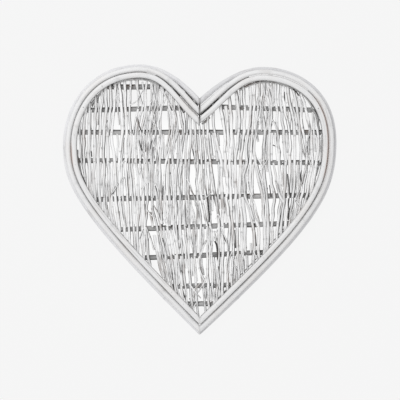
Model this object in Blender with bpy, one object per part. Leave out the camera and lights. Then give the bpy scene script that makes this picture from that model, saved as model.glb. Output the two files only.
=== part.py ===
"""A heart of bent canes filled with upright twigs, lying on its back.

Metres, +Z up. The heart lies in the XY plane with its back at Z = 0 and its lobes towards
+Y. The left and right canes meet at the seam plane X = 0. From the back: the outer and back
canes, level with the crossbars, then the twigs, and last the middle cane and the inner cane,
which covers the twigs' ends. The functions measure Y from the tip, and the empty that all
pieces are parented to moves the middle of the heart's height to the origin.
"""

from math import cos, pi, radians, sin, sqrt
from typing import NamedTuple

import bmesh
import bpy
from mathutils import Vector

# Driving sizes, in metres
HEART_WIDTH = 0.5  # over the outer canes, at the widest place
HEART_HEIGHT = 0.495  # from the tip to the top of the higher lobe
CANE_DIAMETER = 0.01  # across the flats of the eight-sided cane
OUTER_CANE_SHOWS = 0.0052  # how far the outer cane stands out beyond the middle one
CANE_SLACK = 0.0002  # side play between the middle and inner canes
NOTCH_SPREAD_MIDDLE = 0.008  # how far the canes part where they meet between the lobes
NOTCH_SPREAD_INNER = 0.011
NOTCH_SPREAD_LENGTH = 0.11  # the length of cane over which that spread dies away
TIP_TUCK = 0.0015  # how much closer the outer cane lies behind the others at the tip
TIP_TUCK_LENGTH = 0.13
BAR_DIAMETER = 0.009
TWIG_DIAMETER = 0.0056
THIN_TWIG_DIAMETER = 0.0046
TWIG_TIP_REACH = 0.002  # how far twig ends pass under the inner cane's centre line
CLEARANCE = 0.0003  # between pieces that rest on or meet each other

# Where the twigs are thin and crowded, to the right of the seam, as shares of the width
THIN_FROM = -0.25
THIN_TO = 0.05

CANE_SIDES = 8
CANE_SEGMENTS = 26
BAR_SIDES = 8
BAR_SEGMENTS = 3
TWIG_SIDES = 5
CURVE_STEPS = 40  # points on each stretch of the outline
SMOOTH_BELOW = radians(75)  # edges sharper than this stay sharp
TWIG_SLANT_ROOM = 1.1  # a leaning twig is wider, measured level, than one that stands

SEAM_HALF_GAP = CLEARANCE / 2
CANE_RADIUS = CANE_DIAMETER / 2
CANE_CORNER_RADIUS = CANE_RADIUS / cos(pi / CANE_SIDES)


class Lobe(NamedTuple):
    """One half of the outline: three Bezier stretches from the notch round to the tip.

    Places are shares of half the width and of the height.
    """

    name: str
    side: int
    notch: tuple
    notch_reach: tuple
    crown_reach_in: tuple
    crown: tuple
    crown_reach_out: tuple
    flank_reach_up: tuple
    flank: tuple
    flank_reach_down: tuple
    tip_reach: tuple


NOTCH = (0.0, 0.8757)
TIP = (0.0, 0.0)
LOBES = (
    Lobe(
        name="left",
        side=-1,
        notch=NOTCH,
        notch_reach=(0.12, 0.942),
        crown_reach_in=(0.27, 1.0),
        crown=(0.434, 1.0),
        crown_reach_out=(0.838, 1.0),
        flank_reach_up=(1.0, 0.83),
        flank=(1.0, 0.704),
        flank_reach_down=(1.0, 0.569),
        tip_reach=(0.958, 0.474),
    ),
    Lobe(
        name="right",
        side=1,
        notch=NOTCH,
        notch_reach=(0.161, 0.9485),
        crown_reach_in=(0.32, 0.9905),
        crown=(0.46, 0.9905),
        crown_reach_out=(0.7, 0.9905),
        flank_reach_up=(1.0, 0.9155),
        flank=(1.0, 0.716),
        flank_reach_down=(1.0, 0.531),
        tip_reach=(0.9075, 0.4224),
    ),
)
LEFT, RIGHT = LOBES


class Bar(NamedTuple):
    """A crossbar: its level at each end as a share of the height, and what it spans."""

    left_level: float
    right_level: float
    spans: tuple


TOP_BAR_SHARE = 0.917
LAST_BAR_SHARE = 0.115
BARS = (
    Bar(TOP_BAR_SHARE, TOP_BAR_SHARE, (LEFT,)),
    Bar(0.831, 0.839, (LEFT,)),
    Bar(0.843, 0.831, (RIGHT,)),
    Bar(0.749, 0.749, LOBES),
    Bar(0.645, 0.636, LOBES),
    Bar(0.501, 0.517, LOBES),
    Bar(0.390, 0.413, LOBES),
    Bar(0.285, 0.305, LOBES),
    Bar(0.179, 0.185, LOBES),
    Bar(LAST_BAR_SHARE, LAST_BAR_SHARE, LOBES),
)

# Levels at which the twigs' places are given, as shares of the height: one for each
# crossbar, or pair of crossbars side by side, from the top down to the last but one
PLACE_LEVELS = (TOP_BAR_SHARE, 0.838, 0.749, 0.641, 0.509, 0.397, 0.295, 0.182)
PLACE_STEPS = 1000  # the heart's width is divided into this many parts for those places

# Each main twig, from left to right: the first of those levels that it reaches, then its
# place at that level and at each one below, counted from the seam to the right
TWIG_PLACES = (
    (1, (-418, -424, -424, -408)),
    (1, (-404, -406, -408, -394)),
    (1, (-382, -382, -384, -382)),
    (0, (-358, -360, -364, -370, -368, -354)),
    (0, (-342, -342, -348, -350, -350, -340)),
    (0, (-328, -328, -336, -332, -330, -320)),
    (0, (-310, -310, -324, -310, -306, -296)),
    (0, (-292, -286, -284, -292, -290, -276)),
    (0, (-274, -272, -268, -272, -264, -260, -254)),
    (0, (-254, -258, -252, -256, -246, -240, -236)),
    (0, (-228, -212, -232, -232, -222, -226, -226)),
    (0, (-192, -196, -214, -216, -206, -212, -206)),
    (0, (-176, -178, -194, -192, -190, -198, -188)),
    (0, (-164, -166, -178, -174, -176, -154, -134)),
    (0, (-152, -152, -162, -154, -158, -140, -122)),
    (0, (-124, -112, -98, -122, -128, -120, -104, -90)),
    (1, (-92, -82, -98, -98, -92, -82, -68)),
    (1, (-76, -60, -70, -72, -72, -62, -52)),
    (1, (-46, -46, -52, -52, -52, -38, -32)),
    (1, (-36, -32, -38, -38, -38, -22, -14)),
    (1, (-20, -16, -8, -8, 6, 2, 12)),
    (1, (-10, 0, 6, 6, 26, 28, 32)),
    (1, (12, 14, 22, 22, 40, 44, 48)),
    (1, (30, 32, 38, 60, 70, 68, 64)),
    (1, (48, 56, 78, 80, 84, 84, 82)),
    (1, (78, 90, 96, 100, 108, 102, 102)),
    (0, (104, 114, 116, 112, 112, 120, 122, 118)),
    (0, (130, 140, 144, 130, 132, 136, 140)),
    (0, (158, 162, 162, 150, 148, 152, 158)),
    (0, (182, 186, 176, 170, 170, 198, 198)),
    (0, (200, 200, 190, 188, 186, 212, 218)),
    (0, (220, 214, 206, 206, 228, 236, 236)),
    (0, (236, 230, 238, 232, 244, 250, 250)),
    (0, (250, 262, 258, 254, 270, 266, 268)),
    (0, (278, 282, 286, 294, 294, 284, 280)),
    (0, (296, 298, 308, 314, 310, 298, 294)),
    (0, (310, 312, 326, 328, 322, 314, 304)),
    (0, (320, 334, 346, 348, 340, 326)),
    (0, (338, 358, 368, 368, 360, 342)),
    (0, (352, 370, 382, 388, 374, 352)),
    (0, (364, 382, 406, 410, 390, 368)),
    (1, (412, 434, 428, 404)),
)


class Cane(NamedTuple):
    """A ring of two bent halves: how far in its centre lies, how high, and how it spreads."""

    name: str
    inset: float
    height: float
    notch_spread: float
    tip_tuck: float


def clear_scene():
    for obj in list(bpy.data.objects):
        bpy.data.objects.remove(obj, do_unlink=True)


def smooth_fade(distance, length):
    """Falls smoothly from 1 at no distance to 0 at the given length."""
    share = min(1.0, max(0.0, distance / length))
    return 1.0 - share * share * (3.0 - 2.0 * share)


def rise_to_clear(sideways):
    """How much higher a cane must lie to clear another that is this far to its side."""
    reach = 2 * CANE_CORNER_RADIUS + CLEARANCE
    return sqrt(max(0.0, reach**2 - sideways**2))


def stacked_canes():
    """The four canes, each high enough to clear those that it lies over."""
    outer = Cane("outer", CANE_RADIUS, CANE_RADIUS, 0.0, 0.0)
    middle_inset = outer.inset + OUTER_CANE_SHOWS
    middle_height = outer.height + rise_to_clear(OUTER_CANE_SHOWS - TIP_TUCK)
    middle = Cane("middle", middle_inset, middle_height, NOTCH_SPREAD_MIDDLE, TIP_TUCK)
    inner_step = CANE_DIAMETER + CANE_SLACK
    over_twigs = twig_height(TWIG_DIAMETER) + TWIG_DIAMETER / 2 + CLEARANCE + CANE_RADIUS
    inner_height = max(over_twigs, middle_height + rise_to_clear(inner_step))
    inner_inset = middle_inset + inner_step
    inner = Cane("inner", inner_inset, inner_height, NOTCH_SPREAD_INNER, TIP_TUCK)
    back = Cane("back", inner_inset, CANE_RADIUS, NOTCH_SPREAD_INNER, TIP_TUCK)
    return outer, middle, inner, back


def bezier(points, share):
    a, b, c, d = points
    rest = 1.0 - share
    return a * rest**3 + 3 * b * rest**2 * share + 3 * c * rest * share**2 + d * share**3


def outline(lobe):
    """The outer edge of one half, as if it were the right one, from the notch to the tip.

    Its points are evenly spaced, and it runs on past the seam at both ends. All canes take
    their points from these, so that their facets stay side by side.
    """
    stretches = (
        (lobe.notch, lobe.notch_reach, lobe.crown_reach_in, lobe.crown),
        (lobe.crown, lobe.crown_reach_out, lobe.flank_reach_up, lobe.flank),
        (lobe.flank, lobe.flank_reach_down, lobe.tip_reach, TIP),
    )
    points = []
    for stretch in stretches:
        corners = [Vector((x * HEART_WIDTH / 2, y * HEART_HEIGHT)) for x, y in stretch]
        first = 1 if points else 0
        points += [bezier(corners, i / CURVE_STEPS) for i in range(first, CURVE_STEPS + 1)]
    points = evenly_spaced(points, CANE_SEGMENTS)
    run_out = HEART_WIDTH / 4
    before = points[0] + (points[0] - points[1]).normalized() * run_out
    after = points[-1] + (points[-1] - points[-2]).normalized() * run_out
    return [before, *points, after]


def running_lengths(points):
    lengths = [0.0]
    for a, b in zip(points, points[1:]):
        lengths.append(lengths[-1] + (b - a).length)
    return lengths


def inward_normals(points):
    """Unit normals that point into the heart, on a half drawn clockwise from the notch."""
    normals = []
    for i in range(len(points)):
        along = points[min(i + 1, len(points) - 1)] - points[max(i - 1, 0)]
        normals.append(Vector((along.y, -along.x)).normalized())
    return normals


def centre_line(lobe, cane):
    """Points along a cane's middle, cut at the seam."""
    points = outline(lobe)
    lengths = running_lengths(points)
    notch_at, tip_at = lengths[1], lengths[-2]
    line = []
    for point, normal, length in zip(points, inward_normals(points), lengths):
        spread = cane.notch_spread * smooth_fade(length - notch_at, NOTCH_SPREAD_LENGTH)
        tuck = cane.tip_tuck * smooth_fade(tip_at - length, TIP_TUCK_LENGTH)
        line.append(point + normal * (cane.inset + spread - tuck))
    return cut_at_seam(line)


def cut_at_seam(line):
    """The stretch of a line to the right of the seam, with its two ends on the seam.

    Points within a cane's thickness of the seam go, to leave room for the mitred ends.
    """
    right = [i for i, point in enumerate(line) if point.x > SEAM_HALF_GAP]
    start = point_at_x(line[right[0] - 1], line[right[0]], SEAM_HALF_GAP)
    end = point_at_x(line[right[-1]], line[right[-1] + 1], SEAM_HALF_GAP)
    kept = [line[i] for i in right if line[i].x > SEAM_HALF_GAP + CANE_DIAMETER]
    return [start, *kept, end]


def point_at_x(a, b, x):
    return a.lerp(b, (x - a.x) / (b.x - a.x))


def evenly_spaced(line, segments):
    lengths = running_lengths(line)
    spaced = []
    i = 0
    for step in range(segments + 1):
        wanted = lengths[-1] * step / segments
        while i < len(line) - 2 and lengths[i + 1] < wanted:
            i += 1
        spaced.append(line[i].lerp(line[i + 1], (wanted - lengths[i]) / (lengths[i + 1] - lengths[i])))
    return spaced


def ring_directions(line):
    """The sideways direction of each ring: the end rings lie in the seam plane."""
    directions = inward_normals(line)
    for end in (0, -1):
        directions[end] = Vector((0.0, 1.0 / directions[end].y))
    return directions


def cane_edge(lobe, cane, side_shift):
    """The line that a point to the side of a cane's centre draws, on the true side."""
    line = centre_line(lobe, cane)
    shifted = [p + d * side_shift for p, d in zip(line, ring_directions(line))]
    return [Vector((p.x * lobe.side, p.y)) for p in shifted]


def polygon_angles(sides):
    """Angles of the corners of a rod whose flats face sideways, up and down."""
    return [(i + 0.5) * 2 * pi / sides for i in range(sides)]


def rod_mesh(name, rings):
    """A closed rod through rings of equal length, capped at both ends."""
    mesh = bpy.data.meshes.new(name)
    bm = bmesh.new()
    loops = [[bm.verts.new(corner) for corner in ring] for ring in rings]
    sides = len(loops[0])
    for a, b in zip(loops, loops[1:]):
        for i in range(sides):
            j = (i + 1) % sides
            bm.faces.new((a[i], a[j], b[j], b[i]))
    bm.faces.new(loops[0])
    bm.faces.new(loops[-1])
    bmesh.ops.recalc_face_normals(bm, faces=bm.faces)
    bm.to_mesh(mesh)
    bm.free()
    mesh.shade_smooth()
    mesh.set_sharp_from_angle(angle=SMOOTH_BELOW)
    return mesh


def wood(name, colour, roughness):
    material = bpy.data.materials.new(name)
    material.use_nodes = True
    shader = material.node_tree.nodes["Principled BSDF"]
    shader.inputs["Base Color"].default_value = (*colour, 1.0)
    shader.inputs["Roughness"].default_value = roughness
    shader.inputs["Metallic"].default_value = 0.0
    return material


def add_rod(name, rings, material):
    mesh = rod_mesh(name, rings)
    mesh.materials.append(material)
    rod = bpy.data.objects.new(name, mesh)
    bpy.context.scene.collection.objects.link(rod)
    rod.parent = bpy.data.objects["heart"]


def add_cane_half(lobe, cane, material):
    line = centre_line(lobe, cane)
    rings = []
    for centre, sideways in zip(line, ring_directions(line)):
        ring = []
        for angle in polygon_angles(CANE_SIDES):
            place = centre + sideways * (CANE_CORNER_RADIUS * cos(angle))
            height = cane.height + CANE_CORNER_RADIUS * sin(angle)
            ring.append(Vector((place.x * lobe.side, place.y, height)))
        rings.append(ring)
    add_rod(f"{lobe.name}_{cane.name}_cane", rings, material)


def crossings(line, y):
    """Where a line crosses a level, from left to right."""
    found = []
    for a, b in zip(line, line[1:]):
        if (a.y - y) * (b.y - y) < 0:
            found.append(a.lerp(b, (y - a.y) / (b.y - a.y)).x)
    return sorted(found)


def bar_ends(bar, back, y):
    """The left and right ends of a crossbar at one level, just short of the back cane."""
    found = []
    for lobe in bar.spans:
        found += crossings(cane_edge(lobe, back, CANE_RADIUS + CLEARANCE), y)
    return min(found), max(found)


def add_bar(number, bar, back, material):
    corner_radius = BAR_DIAMETER / 2 / cos(pi / BAR_SIDES)
    centre_height = CANE_DIAMETER - BAR_DIAMETER / 2
    left_y, right_y = bar.left_level * HEART_HEIGHT, bar.right_level * HEART_HEIGHT
    rings = [[] for _ in range(BAR_SEGMENTS + 1)]
    for angle in polygon_angles(BAR_SIDES):
        aside = corner_radius * cos(angle)
        height = centre_height + corner_radius * sin(angle)
        left_x = bar_ends(bar, back, left_y + aside)[0]
        right_x = bar_ends(bar, back, right_y + aside)[1]
        for i, ring in enumerate(rings):
            share = i / BAR_SEGMENTS
            x = left_x + (right_x - left_x) * share
            y = left_y + (right_y - left_y) * share + aside
            ring.append(Vector((x, y, height)))
    add_rod(f"crossbar_{number:02d}", rings, material)


def twig_height(diameter):
    """The centre height of a twig whose lowest flat rests just clear of the crossbars."""
    return CANE_DIAMETER + CLEARANCE + diameter / 2 * cos(pi / TWIG_SIDES)


def twig_diameter(places):
    share = sum(places) / len(places) / PLACE_STEPS
    return THIN_TWIG_DIAMETER if THIN_FROM < share < THIN_TO else TWIG_DIAMETER


def place_at(first, places, y):
    """A twig's place at a level, on a smooth curve through its given places."""
    levels = PLACE_LEVELS[first : first + len(places)]
    points = [
        Vector((place / PLACE_STEPS * HEART_WIDTH, level * HEART_HEIGHT))
        for place, level in zip(places, levels)
    ]
    slopes = [slope_at(points, i) for i in range(len(points))]
    if y >= points[0].y:
        return points[0].x + slopes[0] * (y - points[0].y)
    if y <= points[-1].y:
        return points[-1].x + slopes[-1] * (y - points[-1].y)
    i = next(i for i in range(len(points) - 1) if points[i + 1].y < y)
    high, low = points[i], points[i + 1]
    span = low.y - high.y
    handles = (
        high.x,
        high.x + slopes[i] * span / 3,
        low.x - slopes[i + 1] * span / 3,
        low.x,
    )
    return bezier(handles, (y - high.y) / span)


def slope_at(points, i):
    before, after = points[max(i - 1, 0)], points[min(i + 1, len(points) - 1)]
    return (after.x - before.x) / (after.y - before.y)


def station_levels():
    """Levels of the twigs' rings: at each place level, midway between, and past both ends."""
    given = [1.0, *PLACE_LEVELS, LAST_BAR_SHARE, 0.0]
    midway = [(a + b) / 2 for a, b in zip(given, given[1:])]
    return [level * HEART_HEIGHT for level in sorted(given + midway, reverse=True)]


def spread_twigs(levels):
    """Each twig's place at each level, moved on to the right where it would touch the last."""
    rows = []
    for first, places in TWIG_PLACES:
        rows.append([place_at(first, places, y) for y in levels])
    radii = [twig_diameter(places) / 2 for _, places in TWIG_PLACES]
    for i in range(1, len(rows)):
        room = (radii[i - 1] + radii[i]) * TWIG_SLANT_ROOM + CLEARANCE
        rows[i] = [max(x, left + room) for x, left in zip(rows[i], rows[i - 1])]
    return rows


def inside(loop, point):
    """Whether a point lies inside a closed line."""
    hit = False
    for a, b in zip(loop, [*loop[1:], loop[0]]):
        if (a.y > point.y) != (b.y > point.y) and point.x < a.lerp(b, (point.y - a.y) / (b.y - a.y)).x:
            hit = not hit
    return hit


def trimmed(path, loop):
    """The stretch of a path inside a closed line, cut to meet it at both ends."""
    kept = [i for i, point in enumerate(path) if inside(loop, point)]
    first, last = kept[0], kept[-1]
    top = border_point(path[first], path[first - 1], loop)
    bottom = border_point(path[last], path[last + 1], loop)
    return [top, *path[first : last + 1], bottom]


def border_point(within, beyond, loop):
    """The point between the two where the closed line is crossed."""
    halvings = 20
    for _ in range(halvings):
        middle = within.lerp(beyond, 0.5)
        if inside(loop, middle):
            within = middle
        else:
            beyond = middle
    return within


def without_short_ends(path, shortest):
    """Drops the point next to an end where it would make a very short segment."""
    if len(path) > 3 and path[0].y - path[1].y < shortest:
        path = [path[0], *path[2:]]
    if len(path) > 3 and path[-2].y - path[-1].y < shortest:
        path = [*path[:-2], path[-1]]
    return path


def add_twig(number, path, diameter, material):
    height = twig_height(diameter)
    radius = diameter / 2
    rings = []
    for i, point in enumerate(path):
        along = path[min(i + 1, len(path) - 1)] - path[max(i - 1, 0)]
        widening = along.length / abs(along.y)
        ring = []
        for angle in polygon_angles(TWIG_SIDES):
            turned = angle - pi / 2
            x = point.x + radius * widening * cos(turned)
            ring.append(Vector((x, point.y, height + radius * sin(turned))))
        rings.append(ring)
    add_rod(f"twig_{number:02d}", rings, material)


def add_twigs(inner, material):
    edge = [cane_edge(lobe, inner, -TWIG_TIP_REACH) for lobe in LOBES]
    loop = edge[0] + edge[1][::-1]
    levels = station_levels()
    for number, (row, (_, places)) in enumerate(zip(spread_twigs(levels), TWIG_PLACES), start=1):
        path = trimmed([Vector((x, y)) for x, y in zip(row, levels)], loop)
        path = without_short_ends(path, TWIG_DIAMETER)
        add_twig(number, path, twig_diameter(places), material)


def add_heart_empty():
    empty = bpy.data.objects.new("heart", None)
    empty.location.y = -HEART_HEIGHT / 2
    bpy.context.scene.collection.objects.link(empty)


def build():
    clear_scene()
    add_heart_empty()
    outer_wood = wood("greyed_cane", (0.52, 0.52, 0.54), 0.6)
    cane_wood = wood("whitewashed_cane", (0.68, 0.67, 0.67), 0.6)
    bar_wood = wood("whitewashed_bar", (0.5, 0.5, 0.5), 0.75)
    twig_wood = wood("whitewashed_twig", (0.66, 0.65, 0.65), 0.75)
    canes = stacked_canes()
    outer, middle, inner, back = canes
    for lobe in LOBES:
        for cane in canes:
            add_cane_half(lobe, cane, outer_wood if cane is outer else cane_wood)
    for number, bar in enumerate(BARS, start=1):
        add_bar(number, bar, back, bar_wood)
    add_twigs(inner, twig_wood)


build()
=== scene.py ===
"""The looks of a twig heart: whitewashed canes, crossbars and twigs, laid on a pale floor.

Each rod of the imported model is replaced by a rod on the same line, with bark, knuckles and
cut ends. The thinner twigs, forks, side shoots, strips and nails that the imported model
leaves out are added here. Places that were read from the picture are kept as picture coordinates and
turned into metres by one function.
"""

from math import pi, radians, tau
from typing import NamedTuple

import bmesh
import bpy
import numpy as np
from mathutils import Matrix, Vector


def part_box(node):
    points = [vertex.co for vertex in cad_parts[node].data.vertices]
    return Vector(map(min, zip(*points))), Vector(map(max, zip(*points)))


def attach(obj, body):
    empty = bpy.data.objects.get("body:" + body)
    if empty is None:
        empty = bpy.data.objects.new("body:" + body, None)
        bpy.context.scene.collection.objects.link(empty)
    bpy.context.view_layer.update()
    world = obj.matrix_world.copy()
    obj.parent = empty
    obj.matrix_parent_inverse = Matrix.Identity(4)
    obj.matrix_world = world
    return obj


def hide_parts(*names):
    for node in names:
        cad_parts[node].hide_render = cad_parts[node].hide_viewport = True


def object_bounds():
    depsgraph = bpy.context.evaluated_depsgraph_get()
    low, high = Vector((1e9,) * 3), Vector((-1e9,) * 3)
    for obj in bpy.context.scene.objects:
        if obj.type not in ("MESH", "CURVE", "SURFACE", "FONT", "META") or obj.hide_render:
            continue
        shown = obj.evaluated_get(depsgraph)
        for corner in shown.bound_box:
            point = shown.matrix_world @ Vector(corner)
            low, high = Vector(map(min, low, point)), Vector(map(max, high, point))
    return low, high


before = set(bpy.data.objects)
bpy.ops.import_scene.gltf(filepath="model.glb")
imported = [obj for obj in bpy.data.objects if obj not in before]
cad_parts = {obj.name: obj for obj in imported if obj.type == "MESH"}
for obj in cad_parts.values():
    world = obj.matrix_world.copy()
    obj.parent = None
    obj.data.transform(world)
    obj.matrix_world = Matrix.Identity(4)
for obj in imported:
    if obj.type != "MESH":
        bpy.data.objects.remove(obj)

bl_info = {
    "name": "Twig heart",
    "version": (1, 0, 0),
    "blender": (4, 5, 0),
    "location": "3D View > Sidebar > Twig heart",
    "description": "Builds the whitewashed wood of a twig heart around its packed solids",
    "category": "Add Mesh",
}

SOLID_BOX = [list(corner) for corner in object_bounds()]
BODY = "root"

# In the picture's pixels: its own width, the middle of the heart and the heart's width
PICTURE_SIZE = 400
HEART_MIDDLE_PX = (199.65, 199.7)
HEART_WIDTH_PX = 273.0

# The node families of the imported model
HALVES = ("left", "right")
CANES = ("outer", "middle", "inner", "back")
CANE_CORNERS = 8
BAR_CORNERS = 8
TWIG_CORNERS = 5
CROSSBARS = sorted(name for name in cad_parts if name.startswith("crossbar_"))
TWIGS = sorted(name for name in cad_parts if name.startswith("twig_"))


def metres_per_pixel():
    low, high = SOLID_BOX
    return (high[0] - low[0]) / HEART_WIDTH_PX


def from_picture(px, py):
    """The place on the heart, in metres, of a place in the picture."""
    scale = metres_per_pixel()
    return (px - HEART_MIDDLE_PX[0]) * scale, (HEART_MIDDLE_PX[1] - py) * scale


def node_size(node, axis):
    low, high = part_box(node)
    return high[axis] - low[axis]


def number_setting(name, number, description, unit="NONE", least=0.0):
    return bpy.props.FloatProperty(
        name=name,
        description=description,
        default=number,
        min=least,
        unit=unit,
    )


def count_setting(name, count, description, least):
    return bpy.props.IntProperty(name=name, description=description, default=count, min=least)


def colour_setting(name, colour, description):
    return bpy.props.FloatVectorProperty(
        name=name,
        description=description,
        default=colour,
        min=0.0,
        max=1.0,
        size=3,
        subtype="COLOR",
    )


CANE_OUTSIDE = 0.0001  # how far a cane stands out of its solid


class HeartSizes(bpy.types.PropertyGroup):
    """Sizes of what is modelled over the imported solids."""

    ring_step: number_setting(
        "Ring step",
        0.0024,
        "Distance between the rings of points along a cane or crossbar",
        "LENGTH",
        least=0.001,
    )
    twig_ring_step: number_setting(
        "Twig ring step",
        0.0018,
        "Distance between the rings of points along a twig",
        "LENGTH",
        least=0.001,
    )
    cane_sides: count_setting("Cane sides", 28, "Points in each ring of a cane", least=8)
    bar_sides: count_setting("Crossbar sides", 22, "Points in each ring of a crossbar", least=8)
    twig_sides: count_setting("Twig sides", 14, "Points in each ring of a twig", least=6)
    thin_twig_sides: count_setting(
        "Thin twig sides", 10, "Points in each ring of a thin twig or a shoot", least=5
    )
    cane_radius: number_setting(
        "Cane radius",
        node_size("left_outer_cane", 2) / 2 + CANE_OUTSIDE,
        "Half the thickness of a bent cane",
        "LENGTH",
    )
    bar_radius: number_setting(
        "Crossbar radius",
        node_size(CROSSBARS[0], 2) / 2,
        "Half the thickness of a crossbar",
        "LENGTH",
    )
    twig_fill: number_setting(
        "Twig fill", 0.97, "A twig's radius as a share of the distance to its solid's corners"
    )
    twig_stray: number_setting(
        "Twig stray", 0.0010, "How far a twig strays sideways from a smooth line", "LENGTH"
    )
    nail_radius: number_setting(
        "Nail head radius", 0.0011, "Half the width of a nail's head in the canes", "LENGTH"
    )
    pin_radius: number_setting(
        "Pin head radius",
        0.0007,
        "Half the width of the pins that hold twigs to the crossbars",
        "LENGTH",
    )


class WoodColours(bpy.types.PropertyGroup):
    """Colours of the wash, of the wood under it and of the nails."""

    wash: colour_setting("Wash", (0.83, 0.83, 0.835), "Thick white wash on the canes")
    warm_wash: colour_setting(
        "Warm wash", (0.82, 0.81, 0.805), "Patches where the wood warms the wash"
    )
    # Partly painted light: the twigs' wash is made whiter to make up for the shade they lie in below the
    # canes
    twig_wash: colour_setting(
        "Twigs' wash",
        (0.94, 0.94, 0.945),
        "The whiter wash of the twigs, which lie deeper than the canes",
    )
    # Partly painted shade: the outer cane's wash is greyer also because it lies lower, behind the middle
    # cane
    outer_wash: colour_setting(
        "Outer cane's wash", (0.74, 0.74, 0.755), "The greyer, thinner wash of the outer cane"
    )
    # Partly painted shade: this grey wash is darkened to stand for the shade behind the twigs and under
    # the inner cane
    bar_wash: colour_setting(
        "Crossbars' wash", (0.45, 0.45, 0.45), "The grey wash of the crossbars behind the twigs"
    )
    bare_wood: colour_setting(
        "Bare wood", (0.060, 0.058, 0.056), "Grey-brown wood where the wash is thin"
    )
    brown_bark: colour_setting(
        "Brown bark", (0.25, 0.17, 0.13), "Bark that the wash missed, and rust"
    )
    cane_skin: colour_setting(
        "Cane skin",
        (0.36, 0.24, 0.19),
        "Reddish skin of the cane, which shows along some joints",
    )
    nail: colour_setting("Nail", (0.16, 0.155, 0.15), "Dull steel of the nails and pins")


class StageSettings(bpy.types.PropertyGroup):
    """The floor, the lights and the camera."""

    floor_colour: colour_setting("Floor colour", (0.03, 0.03, 0.03), "What the floor reflects")
    floor_glow: number_setting(
        "Floor glow", 0.965, "Even light that the pale floor gives, so that no gap goes dark"
    )
    floor_edge: colour_setting(
        "Floor edge",
        (0.92, 0.92, 0.92),
        "The floor's glow outside the pool of light behind the heart",
    )
    glow_radius: number_setting(
        "Glow radius",
        0.215,
        "How far the brighter pool of light behind the heart reaches",
        "LENGTH",
    )
    sky_strength: number_setting("Sky strength", 0.80, "Even light from all around")
    lamp_power: number_setting(
        "Lamp power", 38.0, "Power of the soft lamp above the upper left", "POWER"
    )
    lamp_size: number_setting("Lamp size", 1.8, "Width of the soft lamp", "LENGTH")
    lens: number_setting("Lens", 250.0, "Focal length of the camera, in millimetres")


SENSOR_WIDTH = 36.0


class Value:
    """A number on a wire: sums on it add the Math nodes that work them out."""

    def __init__(self, wires, socket):
        self.wires = wires
        self.socket = socket

    def maths(self, operation, *others):
        inputs = dict(enumerate((self, *others)))
        return self.wires.node("ShaderNodeMath", {"operation": operation}, inputs)

    def __add__(self, other):
        return self.maths("ADD", other)

    __radd__ = __add__

    def __sub__(self, other):
        return self.maths("SUBTRACT", other)

    def __rsub__(self, other):
        return self.maths("MULTIPLY_ADD", -1.0, other)

    def __mul__(self, other):
        return self.maths("MULTIPLY", other)

    __rmul__ = __mul__

    def clamped(self):
        return self.wires.node("ShaderNodeClamp", {}, {"Value": self})

    def between(self, low, high):
        """Rises smoothly from 0 at the low value to 1 at the high one."""
        settings = {"interpolation_type": "SMOOTHSTEP"}
        inputs = {"Value": self, "From Min": low, "From Max": high}
        return self.wires.node("ShaderNodeMapRange", settings, inputs)


class Wires:
    """Adds and joins the nodes of one material."""

    def __init__(self, name):
        self.material = bpy.data.materials.new(name)
        self.material.use_nodes = True
        self.tree = self.material.node_tree
        self.tree.nodes.clear()

    def node(self, kind, settings, inputs, output=0):
        """Adds a node, sets it up, then gives its sockets values or links them."""
        made = self.tree.nodes.new(kind)
        for name, setting in settings.items():
            setattr(made, name, setting)
        for name, value in inputs.items():
            socket = self.socket(made.inputs, name)
            if isinstance(value, Value):
                self.tree.links.new(value.socket, socket)
            else:
                socket.default_value = value
        return Value(self, self.socket(made.outputs, output)) if made.outputs else None

    @staticmethod
    def socket(sockets, name):
        """A node's socket by its number, its identifier or its name."""
        if isinstance(name, int):
            return sockets[name]
        return next((s for s in sockets if s.identifier == name), None) or sockets[name]

    def mark(self, name, output="Fac"):
        """What the mesh holds at each point under that name."""
        return self.node("ShaderNodeAttribute", {"attribute_name": name}, {}, output)

    def stretched(self, vector, stretch):
        inputs = {0: vector, 1: stretch}
        return self.node("ShaderNodeVectorMath", {"operation": "MULTIPLY"}, inputs)

    def noise(self, vector, scale, detail=3.0, roughness=0.5):
        inputs = {"Vector": vector, "Scale": scale, "Detail": detail, "Roughness": roughness}
        return self.node("ShaderNodeTexNoise", {}, inputs)

    def blend(self, share, low, high):
        """A colour between two colours."""
        inputs = {"Factor_Float": share, "A_Color": low, "B_Color": high}
        return self.node("ShaderNodeMix", {"data_type": "RGBA"}, inputs, "Result_Color")

    def darkened(self, colour, share):
        """A colour times a grey."""
        grey = self.node("ShaderNodeCombineColor", {}, {0: share, 1: share, 2: share})
        settings = {"data_type": "RGBA", "blend_type": "MULTIPLY"}
        inputs = {"Factor_Float": 1.0, "A_Color": colour, "B_Color": grey}
        return self.node("ShaderNodeMix", settings, inputs, "Result_Color")

    def bump(self, height, strength, distance):
        inputs = {"Height": height, "Strength": strength, "Distance": distance}
        return self.node("ShaderNodeBump", {}, inputs)

    def finish(self, **inputs):
        """Ends the material in a Principled shader with these sockets."""
        named = {name.replace("_", " "): value for name, value in inputs.items()}
        shader = self.node("ShaderNodeBsdfPrincipled", {}, named)
        self.node("ShaderNodeOutputMaterial", {}, {"Surface": shader})
        return self.material


def opaque(colour):
    return (*colour, 1.0)


class Finish(NamedTuple):
    """How the wash lies on one kind of wood."""

    name: str
    wash: str
    warmth: float  # how far the warm wash clouds it
    shelter: float  # how strongly the painted shade where the wood faces its neighbours, and the bare seams, darken it
    streaks: float  # how strongly the fibres show through
    patches: float  # how much bare wood shows in patches
    mottle: float  # how uneven the wash's brightness is
    roughness: float
    fibre_scale: float


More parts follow.
